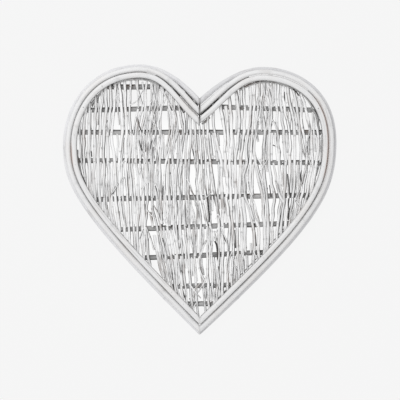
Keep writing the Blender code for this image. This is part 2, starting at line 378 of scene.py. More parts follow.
CANE_FINISH = Finish("whitewashed cane", "wash", 1.0, 0.8, 0.14, 0.12, 0.07, 0.5, 900.0)
# The outer cane's greyer wash is partly painted shade of its lower place
OUTER_FINISH = Finish("greyed outer cane", "outer_wash", 0.2, 0.6, 0.20, 0.22, 0.08, 0.62, 800.0)
# Painted shade: the back cane is darkened to show the shade just inside the inner cane
BACK_FINISH = Finish("greyed back cane", "bar_wash", 0.2, 0.9, 0.4, 0.4, 0.15, 0.7, 800.0)
# The crossbars' grey is partly painted shade of the twigs in front
BAR_FINISH = Finish("grey crossbar in painted shade", "bar_wash", 0.2, 0.85, 0.5, 0.7, 0.20, 0.78, 700.0)
# Dark bare wood laid where the gaps beside the canes lie in shade: painted shade
BARE_SHADOW_FINISH = Finish("bare withy as painted shade", "bar_wash", 0.2, 1.0, 0.6, 0.9, 0.2, 0.8, 1100.0)
# Unwashed bark, partly painted shadow: the dark shoots stand where the twigs lie in shade
DARK_FINISH = Finish("dark bark and painted shadow", "bare_wood", 0.0, 0.3, 0.3, 0.2, 0.2, 0.8, 1100.0)
TWIG_FINISH = Finish("whitewashed twig", "twig_wash", 1.0, 1.0, 0.15, 0.17, 0.10, 0.7, 1100.0)
THIN_TWIG_FINISH = Finish(
    "whitewashed thin twig", "twig_wash", 1.0, 0.9, 0.17, 0.20, 0.12, 0.75, 1300.0
)

# How the patterns are drawn out along the grain
FIBRE_LENGTH = (1.0, 1.0, 0.05)
PATCH_LENGTH = (1.0, 1.0, 0.3)
PATCH_SCALE = 120.0
CLOUD_SCALE = 14.0
SPECK_SCALE = 1500.0
BUMP_DISTANCE = 0.0003

# From which to which strength a pattern counts as nothing and in full
DEEP_GROOVES = (0.15, 0.9)
MISSED_PLACES = (0.66, 0.86)
SHOWN_FIBRES = (0.52, 0.78)
WARM_CLOUDS = (0.42, 0.68)
DIM_SPECKS = (0.55, 0.8)
BROWN_PLACES = (0.55, 0.7)
RUSTY_SPECKS = (0.5, 0.7)
RUST_SCALE = 2500.0

GROOVES_BARE = 0.35
KNOTS_BARE = 0.45
WOOD_BUMP = 0.5
STEEL_BUMP = 0.3


def whitewashed_wood(finish):
    """Wood under a brushed white wash, which is thin in grooves and patches, and darkened as painted shade
    on flanks and in shaded places.
    """
    colours = bpy.context.scene.twig_heart_colours
    wires = Wires(finish.name)
    grain = wires.mark("grain", "Vector")
    sheltered = wires.mark("sheltered")
    relief = wires.mark("relief")
    knot = wires.mark("knot")
    skin = wires.mark("skin")
    worn = wires.mark("worn")
    tone = wires.mark("tone")

    fibres = wires.noise(wires.stretched(grain, FIBRE_LENGTH), finish.fibre_scale, 4.0, 0.6)
    patches = wires.noise(wires.stretched(grain, PATCH_LENGTH), PATCH_SCALE, 4.0, 0.65)
    clouds = wires.noise(grain, CLOUD_SCALE, 2.0)
    specks = wires.noise(grain, SPECK_SCALE, 2.0)

    grooves = (relief * -1.0).between(*DEEP_GROOVES)
    missed = (patches + fibres * 0.25 + worn * 0.10).between(*MISSED_PLACES)
    missed = missed * (worn * 0.4 + finish.patches)
    shown = fibres.between(*SHOWN_FIBRES) * finish.streaks
    # painted shade: flanks, grooves between canes and the inner cane's shadow are darkened here, together
    # with the bare seams
    thin = sheltered * (fibres * 0.5 + 0.75) * finish.shelter
    bare = (missed + shown + thin + grooves * GROOVES_BARE + knot * KNOTS_BARE).clamped()

    wash = opaque(getattr(colours, finish.wash))
    warm = clouds.between(*WARM_CLOUDS) * finish.warmth
    ground = wires.blend(warm, wash, opaque(colours.warm_wash))
    uneven = 1.0 - specks.between(*DIM_SPECKS) * finish.mottle
    ground = wires.darkened(ground, uneven * (1.0 + tone * finish.mottle))
    wood = wires.blend(
        (clouds * 0.6 + patches * 0.5).between(*BROWN_PLACES),
        opaque(colours.bare_wood),
        opaque(colours.brown_bark),
    )
    wood = wires.blend(0.5, wood, opaque(colours.bare_wood))
    colour = wires.blend(bare, ground, wood)
    colour = wires.blend(skin * (fibres * 0.6 + 0.5), colour, opaque(colours.cane_skin))
    roughness = (bare * 0.2 + fibres * 0.15 + (finish.roughness - 0.08)).clamped()
    height = fibres * 0.6 + specks * 0.3 - bare * 0.3
    normal = wires.bump(height, WOOD_BUMP, BUMP_DISTANCE)
    return wires.finish(Base_Color=colour, Roughness=roughness, Normal=normal)


def nail_steel(name, washed):
    """Dull steel with rust specks, under this share of the wash."""
    colours = bpy.context.scene.twig_heart_colours
    wires = Wires(name)
    place = wires.node("ShaderNodeNewGeometry", {}, {}, "Position")
    specks = wires.noise(place, RUST_SCALE)
    rust = specks.between(*RUSTY_SPECKS)
    colour = wires.blend(rust, opaque(colours.nail), opaque(colours.brown_bark))
    cover = (1.0 - rust * 0.4) * washed
    return wires.finish(
        Base_Color=wires.blend(cover, colour, opaque(colours.wash)),
        Roughness=rust * 0.3 + 0.4,
        Metallic=(0.9 - rust * 0.7) * (1.0 - cover),
        Normal=wires.bump(specks, STEEL_BUMP, BUMP_DISTANCE),
    )


def wood(finish):
    """The material of a finish, made the first time that it is asked for."""
    return bpy.data.materials.get(finish.name) or whitewashed_wood(finish)


def unit(vectors):
    return vectors / np.linalg.norm(vectors, axis=-1, keepdims=True)


def running_lengths(points):
    steps = np.linalg.norm(np.diff(points, axis=0), axis=1)
    return np.concatenate(([0.0], np.cumsum(steps)))


DECIMALS = 5  # of a metre, which is down to a hundredth of a millimetre


def node_corners(node):
    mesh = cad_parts[node].data
    points = np.empty(len(mesh.vertices) * 3)
    mesh.vertices.foreach_get("co", points)
    return np.unique(points.reshape(-1, 3).round(DECIMALS), axis=0)


def ring_centres(node, corners, first_by):
    """The middles of a rod's rings, and how far their corners lie from them.

    The first ring holds the corners that come first by the given measure, and each next
    ring the corners nearest to the last one's middle.
    """
    left = node_corners(node)
    left = left[np.argsort([first_by(point) for point in left])]
    centres = []
    radii = []
    while len(left) >= corners:
        ring, left = left[:corners], left[corners:]
        centres.append(ring.mean(axis=0))
        radii.append(np.linalg.norm(ring - centres[-1], axis=1).mean())
        left = left[np.argsort(np.linalg.norm(left - centres[-1], axis=1))]
    return np.array(centres), float(np.median(radii))


CURVE_POINTS = 16  # points worked out on a curve between two given ones


def smooth_line(points, step):
    """Evenly spaced points on a smooth curve through the given ones."""
    points = np.asarray(points, float)
    before = 2 * points[0] - points[1]
    after = 2 * points[-1] - points[-2]
    padded = np.vstack((before, points, after))
    share = np.linspace(0.0, 1.0, CURVE_POINTS, endpoint=False)[:, None]
    stretches = []
    for a, b, c, d in zip(padded, padded[1:], padded[2:], padded[3:]):
        stretches.append(
            b
            + 0.5 * share * (c - a)
            + share**2 * (a - 2.5 * b + 2 * c - 0.5 * d)
            + share**3 * (1.5 * (b - c) + 0.5 * (d - a))
        )
    return evenly_spaced(np.vstack((*stretches, points[-1:])), step)


def evenly_spaced(points, step):
    lengths = running_lengths(points)
    count = max(3, int(lengths[-1] / step) + 1)
    wanted = np.linspace(0.0, lengths[-1], count)
    return np.stack([np.interp(wanted, lengths, points[:, i]) for i in range(3)], axis=1)


def wandering(rng, lengths, spacing):
    """Smooth random values along a line, with a new one at each spacing."""
    values = rng.uniform(-1.0, 1.0, int(lengths[-1] / spacing) + 3)
    places = lengths / spacing
    first = places.astype(int)
    share = places - first
    share = share * share * (3.0 - 2.0 * share)
    return values[first] * (1.0 - share) + values[first + 1] * share


def up_to_one(middle, change):
    """A share that moves from a middle value as far as 1."""
    return middle + (1.0 - middle) * change


def hump(distance, width):
    return np.exp(-((distance / width) ** 2))


class Bark(NamedTuple):
    """The relief of one kind of wood. Depths are shares of the rod's radius."""

    ridges: float
    ridge_spacing: float
    lumps: float
    lump_spacing: float
    knuckles: float
    knuckle_spacing: float
    knuckle_width: float
    buds: float
    ovalness: float


CANE_BARK = Bark(0.010, 0.06, 0.012, 0.05, 0.045, 0.19, 0.0028, 0.0, 0.02)
BAR_BARK = Bark(0.030, 0.03, 0.05, 0.025, 0.08, 0.08, 0.004, 0.15, 0.05)
TWIG_BARK = Bark(0.045, 0.02, 0.11, 0.018, 0.09, 0.055, 0.0015, 0.34, 0.06)
RIDGE_COUNTS = (3, 5, 8)
RIDGE_DEPTH = 0.6
KNUCKLE_ALL_ROUND = 0.35  # how much of a knuckle shows away from its bud
# As shares of what the bark says
FIRST_KNUCKLE = (0.3, 1.0)
KNUCKLE_WIDTHS = (0.8, 1.4)
KNUCKLE_STEPS = (0.6, 1.4)
BUD_SIZES = (0.3, 1.0)
GRAIN_SHIFT = 5.0  # how far the grain of two rods may be shifted, so that no two look alike


class Rod(NamedTuple):
    """A rod's rings and what the materials read at each of their points."""

    points: np.ndarray
    grain: np.ndarray
    sheltered: np.ndarray
    relief: np.ndarray
    knot: np.ndarray
    skin: np.ndarray
    worn: np.ndarray
    tone: float


# How far up a twig's right and left flank the painted shade reaches, and how much that changes along the
# twig. The right flank is turned from the light, so its painted shade is wider.
SHADED_FLANKS = ((0.68, 0.95), (0.22, 0.7))
FLANK_SHADE_CHANGES = 0.040
# How far up the wood faces where a flank's full painted shade ends and where the unshaded wash starts, and
# what the reach adds to each
FULL_SHADE_BELOW = 0.15
FULL_SHADE_REACH = 0.60
UNSHADED_ABOVE = 0.45
UNSHADED_REACH = 0.50
PAINTED_SHADE_STRENGTH = 0.65


def twig_shelter(rng, lengths, angles):
    """Twigs stand side by side, so their flanks are darkened with painted shade, in some places widely."""
    reach = [
        middle + change * wandering(rng, lengths, FLANK_SHADE_CHANGES)[:, None]
        for middle, change in SHADED_FLANKS
    ]
    reach = np.clip(np.where(np.cos(angles) > 0, *reach), 0.0, 1.0)
    facing_up = np.abs(np.sin(angles))
    full_shade_below = FULL_SHADE_BELOW + FULL_SHADE_REACH * reach
    unshaded_above = UNSHADED_ABOVE + UNSHADED_REACH * reach
    flank = 1.0 - smooth_share(facing_up, full_shade_below, unshaded_above)
    return up_to_one(PAINTED_SHADE_STRENGTH, reach) * flank


def no_shelter(_, lengths, angles):
    return np.zeros((len(lengths), len(angles)))


def full_shelter(_, lengths, angles):
    return np.ones((len(lengths), len(angles)))


def smooth_share(values, low, high):
    share = np.clip((values - low) / (high - low), 0.0, 1.0)
    return share * share * (3.0 - 2.0 * share)


def make_rod(rng, line, radius, sides, bark, shelter, cut_ends=True):
    """A rod along a line: radius is one number or one for each point of the line."""
    lengths = running_lengths(line)
    along = unit(np.gradient(line, axis=0))
    aside = unit(np.cross((0.0, 0.0, 1.0), along))
    up = np.cross(along, aside)
    angles = (np.arange(sides) + 0.5) * tau / sides

    waves = np.zeros((len(line), sides))
    for count in RIDGE_COUNTS:
        turn = wandering(rng, lengths, bark.ridge_spacing)[:, None] * pi
        change = wandering(rng, lengths, bark.ridge_spacing)[:, None]
        depth = up_to_one(RIDGE_DEPTH, change)
        waves += depth * np.cos(count * angles + turn) / len(RIDGE_COUNTS)
    swell = bark.lumps * wandering(rng, lengths, bark.lump_spacing)[:, None]
    oval = bark.ovalness * np.cos(2 * angles + wandering(rng, lengths, bark.ridge_spacing)[:, None])

    knot = np.zeros((len(line), sides))
    bud = np.zeros((len(line), sides))
    place = bark.knuckle_spacing * rng.uniform(*FIRST_KNUCKLE)
    while place < lengths[-1] - bark.knuckle_width:
        width = bark.knuckle_width * rng.uniform(*KNUCKLE_WIDTHS)
        near = hump(lengths - place, width)[:, None]
        facing = np.clip(np.cos(angles - rng.uniform(0, tau)), 0.0, 1.0) ** 3
        knot = np.maximum(knot, near * up_to_one(KNUCKLE_ALL_ROUND, facing))
        bud = np.maximum(bud, near * facing * rng.uniform(*BUD_SIZES))
        place += bark.knuckle_spacing * rng.uniform(*KNUCKLE_STEPS)
    scale = 1.0 + bark.ridges * waves + swell + oval + bark.knuckles * knot + bark.buds * bud

    reach = (np.broadcast_to(radius, len(line))[:, None] * scale)[:, :, None]
    spokes = aside[:, None] * np.cos(angles)[None, :, None]
    spokes = spokes + up[:, None] * np.sin(angles)[None, :, None]
    points = line[:, None] + spokes * reach
    offset = rng.uniform(0.0, GRAIN_SHIFT)
    mean_radius = float(np.mean(radius))
    grain = np.stack(
        (
            np.broadcast_to(np.cos(angles) * mean_radius, waves.shape),
            np.broadcast_to(np.sin(angles) * mean_radius, waves.shape),
            np.broadcast_to(lengths[:, None] + offset, waves.shape),
        ),
        axis=2,
    )
    sheltered = np.broadcast_to(shelter(rng, lengths, angles), waves.shape)
    none = np.zeros(waves.shape)
    rod = Rod(points, grain, sheltered, waves, knot, none, none, rng.uniform(-1.0, 1.0))
    return with_cut_ends(rod, line, along, mean_radius) if cut_ends else rod


CUT_WIDTH = 0.8  # a cut face's width as a share of the rod's
CUT_DEPTH = 0.12  # how far the cut's worn edge reaches along, as a share of the radius


def with_cut_ends(rod, line, along, radius):
    """Adds a narrower ring just past each end, so that the cut has a worn edge."""
    first = line[0] + (rod.points[0] - line[0]) * CUT_WIDTH - along[0] * radius * CUT_DEPTH
    last = line[-1] + (rod.points[-1] - line[-1]) * CUT_WIDTH + along[-1] * radius * CUT_DEPTH
    points = np.concatenate((first[None], rod.points, last[None]))
    more = {}
    for mark in ("grain", "sheltered", "relief", "skin", "worn"):
        values = getattr(rod, mark)
        more[mark] = np.concatenate((values[:1], values, values[-1:]))
    bare = np.ones_like(rod.knot[:1])
    knot = np.concatenate((bare, rod.knot, bare))
    return rod._replace(points=points, knot=knot, **more)


SHARP_FROM = radians(50)


def rods_mesh(name, rods):
    """One mesh of several rods, each closed by a flat face at both ends."""
    faces = []
    start = 0
    for rod in rods:
        rings, sides = rod.knot.shape
        ids = start + np.arange(rings * sides).reshape(rings, sides)
        beside = np.roll(ids, -1, axis=1)
        quads = np.stack((ids[:-1], beside[:-1], beside[1:], ids[1:]), axis=2)
        faces += quads.reshape(-1, 4).tolist()
        faces.append(ids[0][::-1].tolist())
        faces.append(ids[-1].tolist())
        start += rings * sides
    mesh = bpy.data.meshes.new(name)
    points = np.concatenate([rod.points.reshape(-1, 3) for rod in rods])
    mesh.from_pydata(points.tolist(), [], faces)
    grain = np.concatenate([rod.grain.reshape(-1, 3) for rod in rods])
    mesh.attributes.new("grain", "FLOAT_VECTOR", "POINT").data.foreach_set("vector", grain.ravel())
    for mark in ("sheltered", "relief", "knot", "skin", "worn"):
        values = np.concatenate([getattr(rod, mark).ravel() for rod in rods])
        mesh.attributes.new(mark, "FLOAT", "POINT").data.foreach_set("value", values)
    tones = np.concatenate([np.full(rod.knot.size, rod.tone) for rod in rods])
    mesh.attributes.new("tone", "FLOAT", "POINT").data.foreach_set("value", tones)
    face_outwards(mesh)
    mesh.shade_smooth()
    mesh.set_sharp_from_angle(angle=SHARP_FROM)
    return mesh


def face_outwards(mesh):
    bm = bmesh.new()
    bm.from_mesh(mesh)
    bmesh.ops.recalc_face_normals(bm, faces=bm.faces)
    bm.to_mesh(mesh)
    bm.free()


def add_piece(name, mesh, material, replaced=()):
    """Shows a mesh as a piece of the heart, in place of the nodes that it stands for."""
    mesh.materials.append(material)
    piece = bpy.data.objects.new(name, mesh)
    bpy.context.scene.collection.objects.link(piece)
    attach(piece, BODY)
    if replaced:
        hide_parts(*replaced)
    return piece


def seeded(*words):
    """A random source of its own for each piece, the same on each run."""
    text = " ".join(str(word) for word in words)
    return np.random.default_rng([ord(letter) for letter in text])


MITRE_REACH = 0.008  # how far a cane runs on past the seam before it is cut there
MITRE_ROUNDING = 0.0017  # how far from the cut its edge is worn
MITRE_WEAR = 0.16  # how far the cut's edge is worn in, as a share of the radius
CANE_KNOTS = 0.4  # how strongly the bare wood of a cane's knuckles shows
TIP_SEAM_BARE = 0.2  # the seam at the tip is washed over, the one at the notch is bare


def from_the_notch(point):
    return abs(point[0]) if point[1] > 0 else np.inf


def cane_centres(half, cane):
    centres, _ = ring_centres(f"{half}_{cane}_cane", CANE_CORNERS, from_the_notch)
    return centres


TOUCHING = (0.80, 0.96)  # from where to where a cane's side comes to face its neighbour
CANE_SHADE_CHANGES = 0.05


def cane_shelter(cane):
    """Painted shade where a cane faces its neighbours, in the grooves between canes. An angle of 0 points
    out of the heart.
    """
    facing_in, facing_out = {
        "outer": (0.25, 0.0),
        "middle": (1.0, 0.2),
        "inner": (0.8, 1.0),
        "back": (1.0, 1.0),
    }[cane]

    def shelter(rng, lengths, angles):
        inwards = -np.cos(angles)
        near_in = facing_in * smooth_share(inwards, *TOUCHING)
        near_out = facing_out * smooth_share(-inwards, *TOUCHING)
        change = wandering(rng, lengths, CANE_SHADE_CHANGES)[:, None]
        strength = up_to_one(PAINTED_SHADE_STRENGTH, change)
        return strength * np.maximum(near_in, near_out)

    return shelter


def add_cane(half, cane, finish):
    """One bent half of a ring, cut flat in the seam plane where it meets the other half."""
    sizes = bpy.context.scene.twig_heart_sizes
    node = f"{half}_{cane}_cane"
    centres = cane_centres(half, cane)
    seam = centres[0][0]
    rng = seeded(node)
    line = smooth_line(centres, sizes.ring_step)
    start, end = unit(line[0] - line[1]), unit(line[-1] - line[-2])
    steps = np.arange(sizes.ring_step, MITRE_REACH, sizes.ring_step)[:, None]
    line = np.vstack((line[0] + start * steps[::-1], line, line[-1] + end * steps))
    if half == "left":
        line = line[::-1]  # so that an angle of 0 points out of the heart here too
    rod = make_rod(
        rng,
        line,
        sizes.cane_radius,
        sizes.cane_sides,
        CANE_BARK,
        cane_shelter(cane),
        cut_ends=False,
    )
    near_seam = hump(rod.points[:, :, 0] - seam, MITRE_ROUNDING)
    bare_seam = np.where(rod.points[:, :, 1] > 0, 1.0, TIP_SEAM_BARE) * near_seam
    points = rod.points + (line[:, None] - rod.points) * (MITRE_WEAR * near_seam)[:, :, None]
    points[:, :, 2] = np.maximum(points[:, :, 2], 0.0)  # nothing reaches into the floor
    rod = rod._replace(
        points=points,
        knot=rod.knot * CANE_KNOTS,
        sheltered=np.maximum(rod.sheltered, bare_seam),
        skin=bare_skin(half, cane, rod),
        tone=CANE_LIGHT_AND_SHADE.get((half, cane), 0.0),
    )
    mesh = rods_mesh(f"{node}_wood", [rod])
    cut_at_seam(mesh, seam)
    add_piece(f"{node}_wood", mesh, wood(finish), [node])


# Painted light and shade on the outer canes: the left one is made paler and the right one darker, as the
# light falls from the upper left. Where a cane's skin shows along its outer flank, from and to which
# height in the picture
CANE_LIGHT_AND_SHADE = {("left", "outer"): 0.8, ("right", "outer"): -0.9}
BARE_SKIN = {("right", "inner"): (90, 184), ("left", "inner"): (138, 172)}
SKIN_FADE_PX = 14
SKIN_FLANK = (0.003, 0.0042)  # how far from the cane's middle the bare skin starts and is full


def bare_skin(half, cane, rod):
    top, bottom = BARE_SKIN.get((half, cane), (0, 0))
    down = HEART_MIDDLE_PX[1] - rod.points[:, :, 1] / metres_per_pixel()
    shown = smooth_share(down, top, top + SKIN_FADE_PX)
    shown = shown * (1.0 - smooth_share(down, bottom - SKIN_FADE_PX, bottom))
    middle = rod.points.mean(axis=1, keepdims=True)
    outwards = (rod.points - middle)[:, :, 0] * np.sign(middle[:, :, 0])
    return shown * smooth_share(outwards, *SKIN_FLANK)


def cut_at_seam(mesh, seam):
    """Cuts off what lies past the seam plane and closes the cuts."""
    bm = bmesh.new()
    bm.from_mesh(mesh)
    everything = [*bm.verts, *bm.edges, *bm.faces]
    outwards = (-np.sign(seam), 0.0, 0.0)
    bmesh.ops.bisect_plane(
        bm,
        geom=everything,
        plane_co=(seam, 0.0, 0.0),
        plane_no=outwards,
        clear_outer=True,
    )
    rim = [edge for edge in bm.edges if edge.is_boundary]
    bmesh.ops.holes_fill(bm, edges=rim, sides=0)
    bm.to_mesh(mesh)
    bm.free()


BAR_STRAY = 0.0004
BAR_STRAY_SPACING = 0.04


def add_crossbar(node):
    """A crossbar with rough bark, its ends against the back canes."""
    sizes = bpy.context.scene.twig_heart_sizes
    centres, _ = ring_centres(node, BAR_CORNERS, lambda point: point[0])
    rng = seeded(node)
    line = smooth_line(centres, sizes.ring_step)
    lengths = running_lengths(line)
    line[1:-1, 1] += BAR_STRAY * wandering(rng, lengths, BAR_STRAY_SPACING)[1:-1]
    rod = make_rod(rng, line, sizes.bar_radius, sizes.bar_sides, BAR_BARK, twig_shelter)
    mesh = rods_mesh(f"{node}_wood", [rod])
    add_piece(f"{node}_wood", mesh, wood(BAR_FINISH), [node])


def tapered(rng, lengths, radius, share):
    """Radii that fall or rise by this share from one end to the other."""
    way = rng.choice((-1.0, 1.0))
    return radius * (1.0 + way * share * (lengths / lengths[-1] - 0.5))


WORN_MIDDLE_PX = (204, 206)
WORN_REACH_PX = (46, 55)
WORN_BELOW_PX = (225, 275)  # from no wear to the most of it, down the picture
WORN_BELOW_SHARE = 0.7
FRESH_MIDDLE_PX = (122, 128)
FRESH_REACH_PX = (48, 50)
FRESH_SHARE = 0.4


def round_place(points, middle_px, reach_px):
    """A share that falls from 1 at a place to nothing around it."""
    x, y = from_picture(*middle_px)
    reach_x, reach_y = (reach * metres_per_pixel() for reach in reach_px)
    return hump(points[:, :, 0] - x, reach_x) * hump(points[:, :, 1] - y, reach_y)


def worn_share(points):
    """The wash is thin in the heart's middle and towards its tip, thick in the left lobe."""
    middle = round_place(points, WORN_MIDDLE_PX, WORN_REACH_PX)
    starts, full = (from_picture(0.0, height)[1] for height in WORN_BELOW_PX)
    worn = np.maximum(middle, WORN_BELOW_SHARE * smooth_share(-points[:, :, 1], -starts, -full))
    return worn - FRESH_SHARE * round_place(points, FRESH_MIDDLE_PX, FRESH_REACH_PX)


END_PAINTED_SHADOW = 0.014  # how far down from its top a twig gets the painted shadow of the inner cane
END_PAINTED_SHADOW_SHARE = 0.6


def under_the_cane(rod):
    """Painted shadow of the inner cane on a twig's upper end, where it runs under that cane."""
    middles = rod.points.mean(axis=1)
    from_top = np.linalg.norm(middles - middles[np.argmax(middles[:, 1])], axis=1)
    near_top = 1.0 - smooth_share(from_top, 0.5 * END_PAINTED_SHADOW, END_PAINTED_SHADOW)
    return np.maximum(rod.sheltered, END_PAINTED_SHADOW_SHARE * near_top[:, None])


# Where a main twig bends aside the most: the height in the picture, and how far, in pixels
TWIG_BENDS = {
    "twig_03": (180, -1.2),
    "twig_06": (97, 1.2),
    "twig_12": (97, -1.2),
    "twig_17": (147, -1.2),
    "twig_20": (180, -1.2),
    "twig_30": (120, 1.2),
    "twig_32": (147, -1.2),
    "twig_37": (97, -1.2),
    "twig_40": (120, -1.2),
    "twig_41": (180, -1.2),
}
BEND_LENGTH_PX = 12


def bend_aside(node, line):
    """How far each point of a twig lies aside of its solid's line."""
    height, shift = TWIG_BENDS.get(node, (0, 0.0))
    _, middle = from_picture(0.0, height)
    length = BEND_LENGTH_PX * metres_per_pixel()
    return shift * metres_per_pixel() * hump(line[:, 1] - middle, length)


TWIG_HELD = 0.012  # how far from its ends a twig bends less
TWIG_WAVES = (0.015, 0.031)  # the spacings of its bends aside
TWIG_LIFT = 0.0002
TWIG_LIFT_SPACING = 0.02
TWIG_TAPER = 0.22


def add_main_twig(node):
    """A twig on the line of its solid, with small bends at its knuckles."""
    sizes = bpy.context.scene.twig_heart_sizes
    centres, corner_reach = ring_centres(node, TWIG_CORNERS, lambda point: -point[1])
    rng = seeded(node)
    line = smooth_line(centres, sizes.twig_ring_step)
    lengths = running_lengths(line)
    held = smooth_share(lengths, 0.0, TWIG_HELD)
    held = held * smooth_share(lengths[-1] - lengths, 0.0, TWIG_HELD)
    for spacing in TWIG_WAVES:
        line[:, 0] += sizes.twig_stray * held * wandering(rng, lengths, spacing)
    line[:, 0] += held * bend_aside(node, line)
    line[:, 2] += TWIG_LIFT * held * wandering(rng, lengths, TWIG_LIFT_SPACING)
    radius = tapered(rng, lengths, corner_reach * sizes.twig_fill, TWIG_TAPER)
    rod = make_rod(rng, line, radius, sizes.twig_sides, TWIG_BARK, twig_shelter)
    rod = rod._replace(sheltered=under_the_cane(rod), worn=worn_share(rod.points))
    mesh = rods_mesh(f"{node}_bark", [rod])
    add_piece(f"{node}_bark", mesh, wood(TWIG_FINISH), [node])


class Sprig(NamedTuple):
    """A thin twig, fork or shoot: its places in the picture from end to end."""

    width_px: float
    over: bool  # lies over the main twigs, not between them
    places: tuple


def between(width_px, *places):
    return Sprig(width_px, False, places)


def on_top(width_px, *places):
    return Sprig(width_px, True, places)


